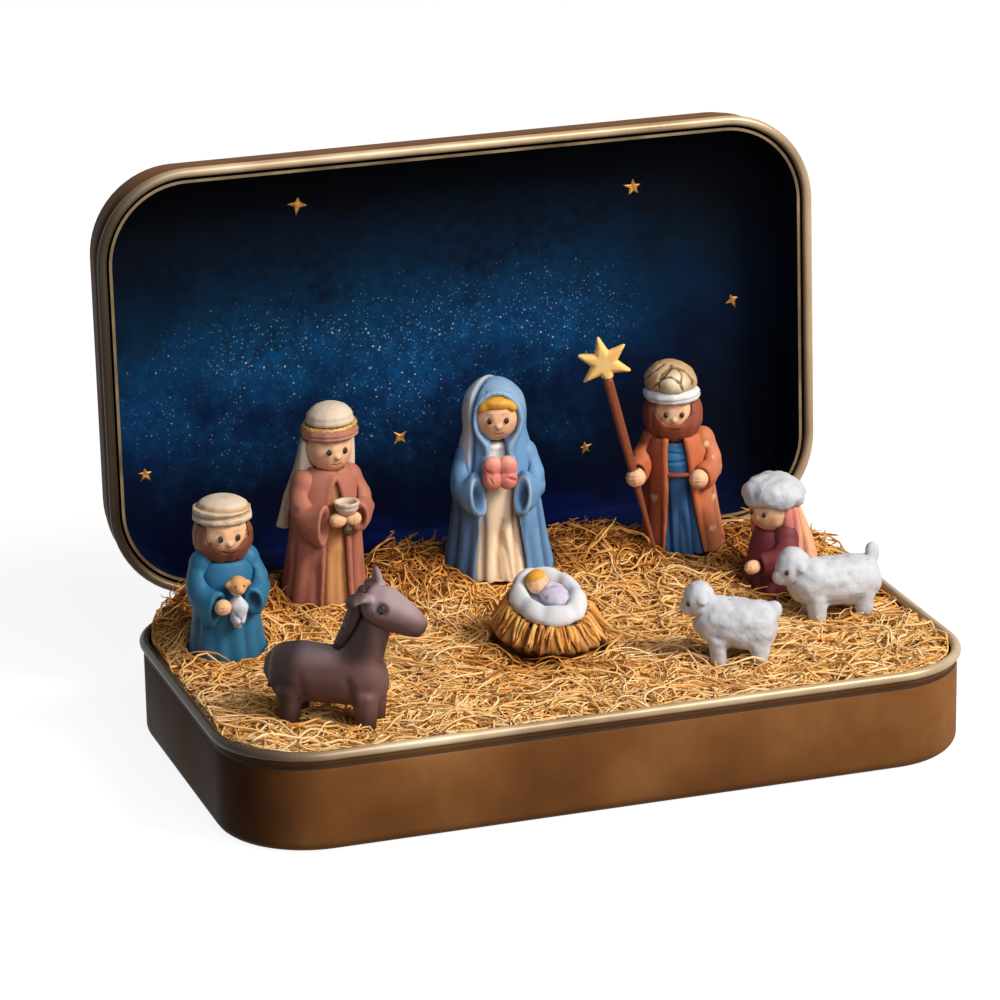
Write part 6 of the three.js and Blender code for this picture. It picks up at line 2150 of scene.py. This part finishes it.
        # Its path, kept off the feet and inside the tin.
        start = OUTLINE.inside(start, 2.4)
        bend = heading[:, None] + curl[:, None] * along
        step = length[:, None] / (rings - 1)
        half = length[:, None] / 2
        x = start[:, :1] + np.cumsum(step * np.cos(bend), axis=1) - half * np.cos(heading[:, None])
        y = start[:, 1:] + np.cumsum(step * np.sin(bend), axis=1) - half * np.sin(heading[:, None])
        ripple = wave[:, None] * np.sin(2 * np.pi * turns[:, None] * along + phase[:, None])
        x, y = x - ripple * np.sin(bend) * 0.6, y + ripple * np.cos(bend) * 0.6
        spine = np.stack([x, y, np.zeros_like(x)], axis=2)
        margin = rng.uniform(-0.25, 0.5, count)
        for _ in range(3):
            spine, near = self.clear(spine, margin)
            spine = OUTLINE.inside(spine.reshape(-1, 3), self.inset).reshape(spine.shape)
        # Its height over the pad.
        rise = lift[:, None] + arch[:, None] * (1 - 4 * along**2) + 0.22 * ripple
        rise = np.maximum(rise, -0.7) + steep[:, None] * length[:, None] * (along + 0.3) + 0.55 * near
        level = self.height(spine[..., 0].ravel(), spine[..., 1].ravel()).reshape(rise.shape)
        spine[..., 2] = level + rise
        # Its tone: random from strand to strand, with painted light on strands that lie high and painted
        # shade at the back, beside the feet and in the dips.
        middle = spine[:, rings // 2]
        back_shade = ease((middle[:, 1] - 13) / 10)
        tone = 0.72 + 0.16 * lift + rng.normal(0, 0.14, count) - 0.46 * back_shade - 0.2 * near.max(axis=1)
        # Painted shade: strands in the dips are darker.
        tone -= 0.8 * self.pressed(middle[:, 0], middle[:, 1])
        hand_over(strands_of(name, rng, spine, tone, self.half_widths), "tin_base", "wood_wool")


# Studio


@dataclass(frozen=True)
class Studio:
    """A pale floor, soft warm light from the right and front, and the camera."""

    eye: Point = (-182.71, -532.82, 218.59)
    right: Point = (0.94743, -0.31954, -0.01625)
    up: Point = (0.11498, 0.29263, 0.94929)
    lens: float = 166.11
    sensor: float = 36.0
    aim: Point = (0.0, 5.0, 25.0)
    floor_size: float = 6.0
    sky_light: float = 0.08
    floor_glow: float = 0.9

    def build(self) -> None:
        """Sets floor, lights, world and camera."""
        self.floor()
        self.lamp("key light", (450.0, -450.0, 590.0), size=0.26, power=7.9, tint="#fff1de")
        self.lamp("fill light", (90.0, -640.0, 480.0), size=0.4, power=2.3, tint="#f6f6ff")
        self.world()
        self.camera()
        bpy.context.scene.view_settings.view_transform = "Standard"
        LOG.info("studio is set")

    def floor(self) -> None:
        """Lays a white floor that keeps the tin's shadow."""
        bpy.ops.object.select_all(action="DESELECT")
        bpy.ops.mesh.primitive_plane_add(size=self.floor_size)
        floor = bpy.context.active_object
        floor.name = "studio_floor"
        material, tree, _ = blank("white seamless paper")
        power = add(tree, "Math", {0: self.seen(tree), 1: self.floor_glow}, operation="MULTIPLY")
        matt = add(tree, "BsdfDiffuse", {"Color": colour("#8e8e8e")})
        glow = add(tree, "Emission", {"Color": colour("#ffffff"), "Strength": power})
        add(tree, "OutputMaterial", {0: add(tree, "AddShader", {0: matt, 1: glow})})
        dress(floor, material)

    @staticmethod
    def seen(tree: bpy.types.NodeTree) -> bpy.types.Node:
        """Adds nodes that are 1 for camera, glossy and transmission rays, and 0 for the others."""
        rays = add(tree, "LightPath").outputs
        sharp = {0: rays["Is Camera Ray"], 1: rays["Is Glossy Ray"]}
        sharp = {0: add(tree, "Math", sharp, operation="MAXIMUM"), 1: rays["Is Transmission Ray"]}
        return add(tree, "Math", sharp, operation="MAXIMUM")

    def lamp(self, name: str, place: Point, size: float, power: float, tint: str) -> None:
        """Hangs a soft box that points at the tin.

        Args:
            name: Name of the light.
            place: Its place in millimetres.
            size: Edge length in metres.
            power: Strength in watts.
            tint: Colour of the light.
        """
        bpy.ops.object.light_add(type="AREA", location=Vector(place) * MM)
        lamp = bpy.context.active_object
        lamp.name = name
        lamp.data.size = size
        lamp.data.energy = power
        lamp.data.color = colour(tint)[:3]
        aim = Vector(self.aim) - Vector(place)
        lamp.rotation_euler = aim.to_track_quat("-Z", "Y").to_euler()

    def world(self) -> None:
        """Fills the room with plain soft light, and lets its walls look white."""
        world = bpy.data.worlds.new("soft room")
        world.use_nodes = True
        bpy.context.scene.world = world
        tree = world.node_tree
        tree.nodes.clear()
        power = add(tree, "Math", {0: self.seen(tree), 1: self.sky_light}, operation="MAXIMUM")
        light = add(tree, "Background", {"Color": colour("#ffffff"), "Strength": power})
        add(tree, "OutputWorld", {"Surface": light})

    def camera(self) -> None:
        """Points the camera as the photograph was taken."""
        data = bpy.data.cameras.new("camera")
        data.lens = self.lens
        data.sensor_width = self.sensor
        data.clip_start = 0.01
        camera = bpy.data.objects.new("camera", data)
        bpy.context.scene.collection.objects.link(camera)
        right, up = Vector(self.right).normalized(), Vector(self.up).normalized()
        turn = Matrix((right, up, right.cross(up))).transposed().to_4x4()
        camera.matrix_world = Matrix.Translation(Vector(self.eye) * MM) @ turn
        bpy.context.scene.camera = camera


def figures() -> list[ClayFigure]:
    """Lists the loose figures where they stand."""
    return [
        Shepherd("shepherd", Place(-40.1, 10.9, 12.6), (5.5, 4.8)),
        GiftBearer("gift_bearer", Place(-24.2, 20.8, 15.1, 6.0), (6.2, 5.3)),
        Mother("mother", Place(0.3, 21.0, 15.6, -13.0), (7.8, 5.4)),
        King("king", Place(27.1, 21.6, 15.6, -18.0), (6.0, 4.8)),
        Kneeler("kneeling_shepherd", Place(34.9, 8.2, 13.0, -62.0), (4.9, 5.3)),
        Manger("manger", Place(-0.4, -1.6, 12.4, -55.0), (8.1, 6.6)),
        Sheep("front_sheep", Place(21.2, -14.0, 12.3, 158.0)),
        Sheep("back_sheep", Place(39.3, -2.9, 12.3, 180.0), length=10.8, drop=0.7, scale=1.12,
              tail=(-5.1, 0.0, 8.7)),
        Donkey("donkey", Place(-33.7, -16.5, 12.2, -36.0)),
    ]


def main() -> None:
    """Builds the tin, the straw, the figures and the studio."""
    logging.basicConfig(level=logging.INFO, format="%(name)s: %(message)s")
    Tin().build()
    loose = figures()
    StrawBed([figure.footprint() for figure in loose if figure.foot]).build()
    for figure in loose:
        figure.build()
    Studio().build()
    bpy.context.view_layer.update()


if __name__ == "__main__":
    main()
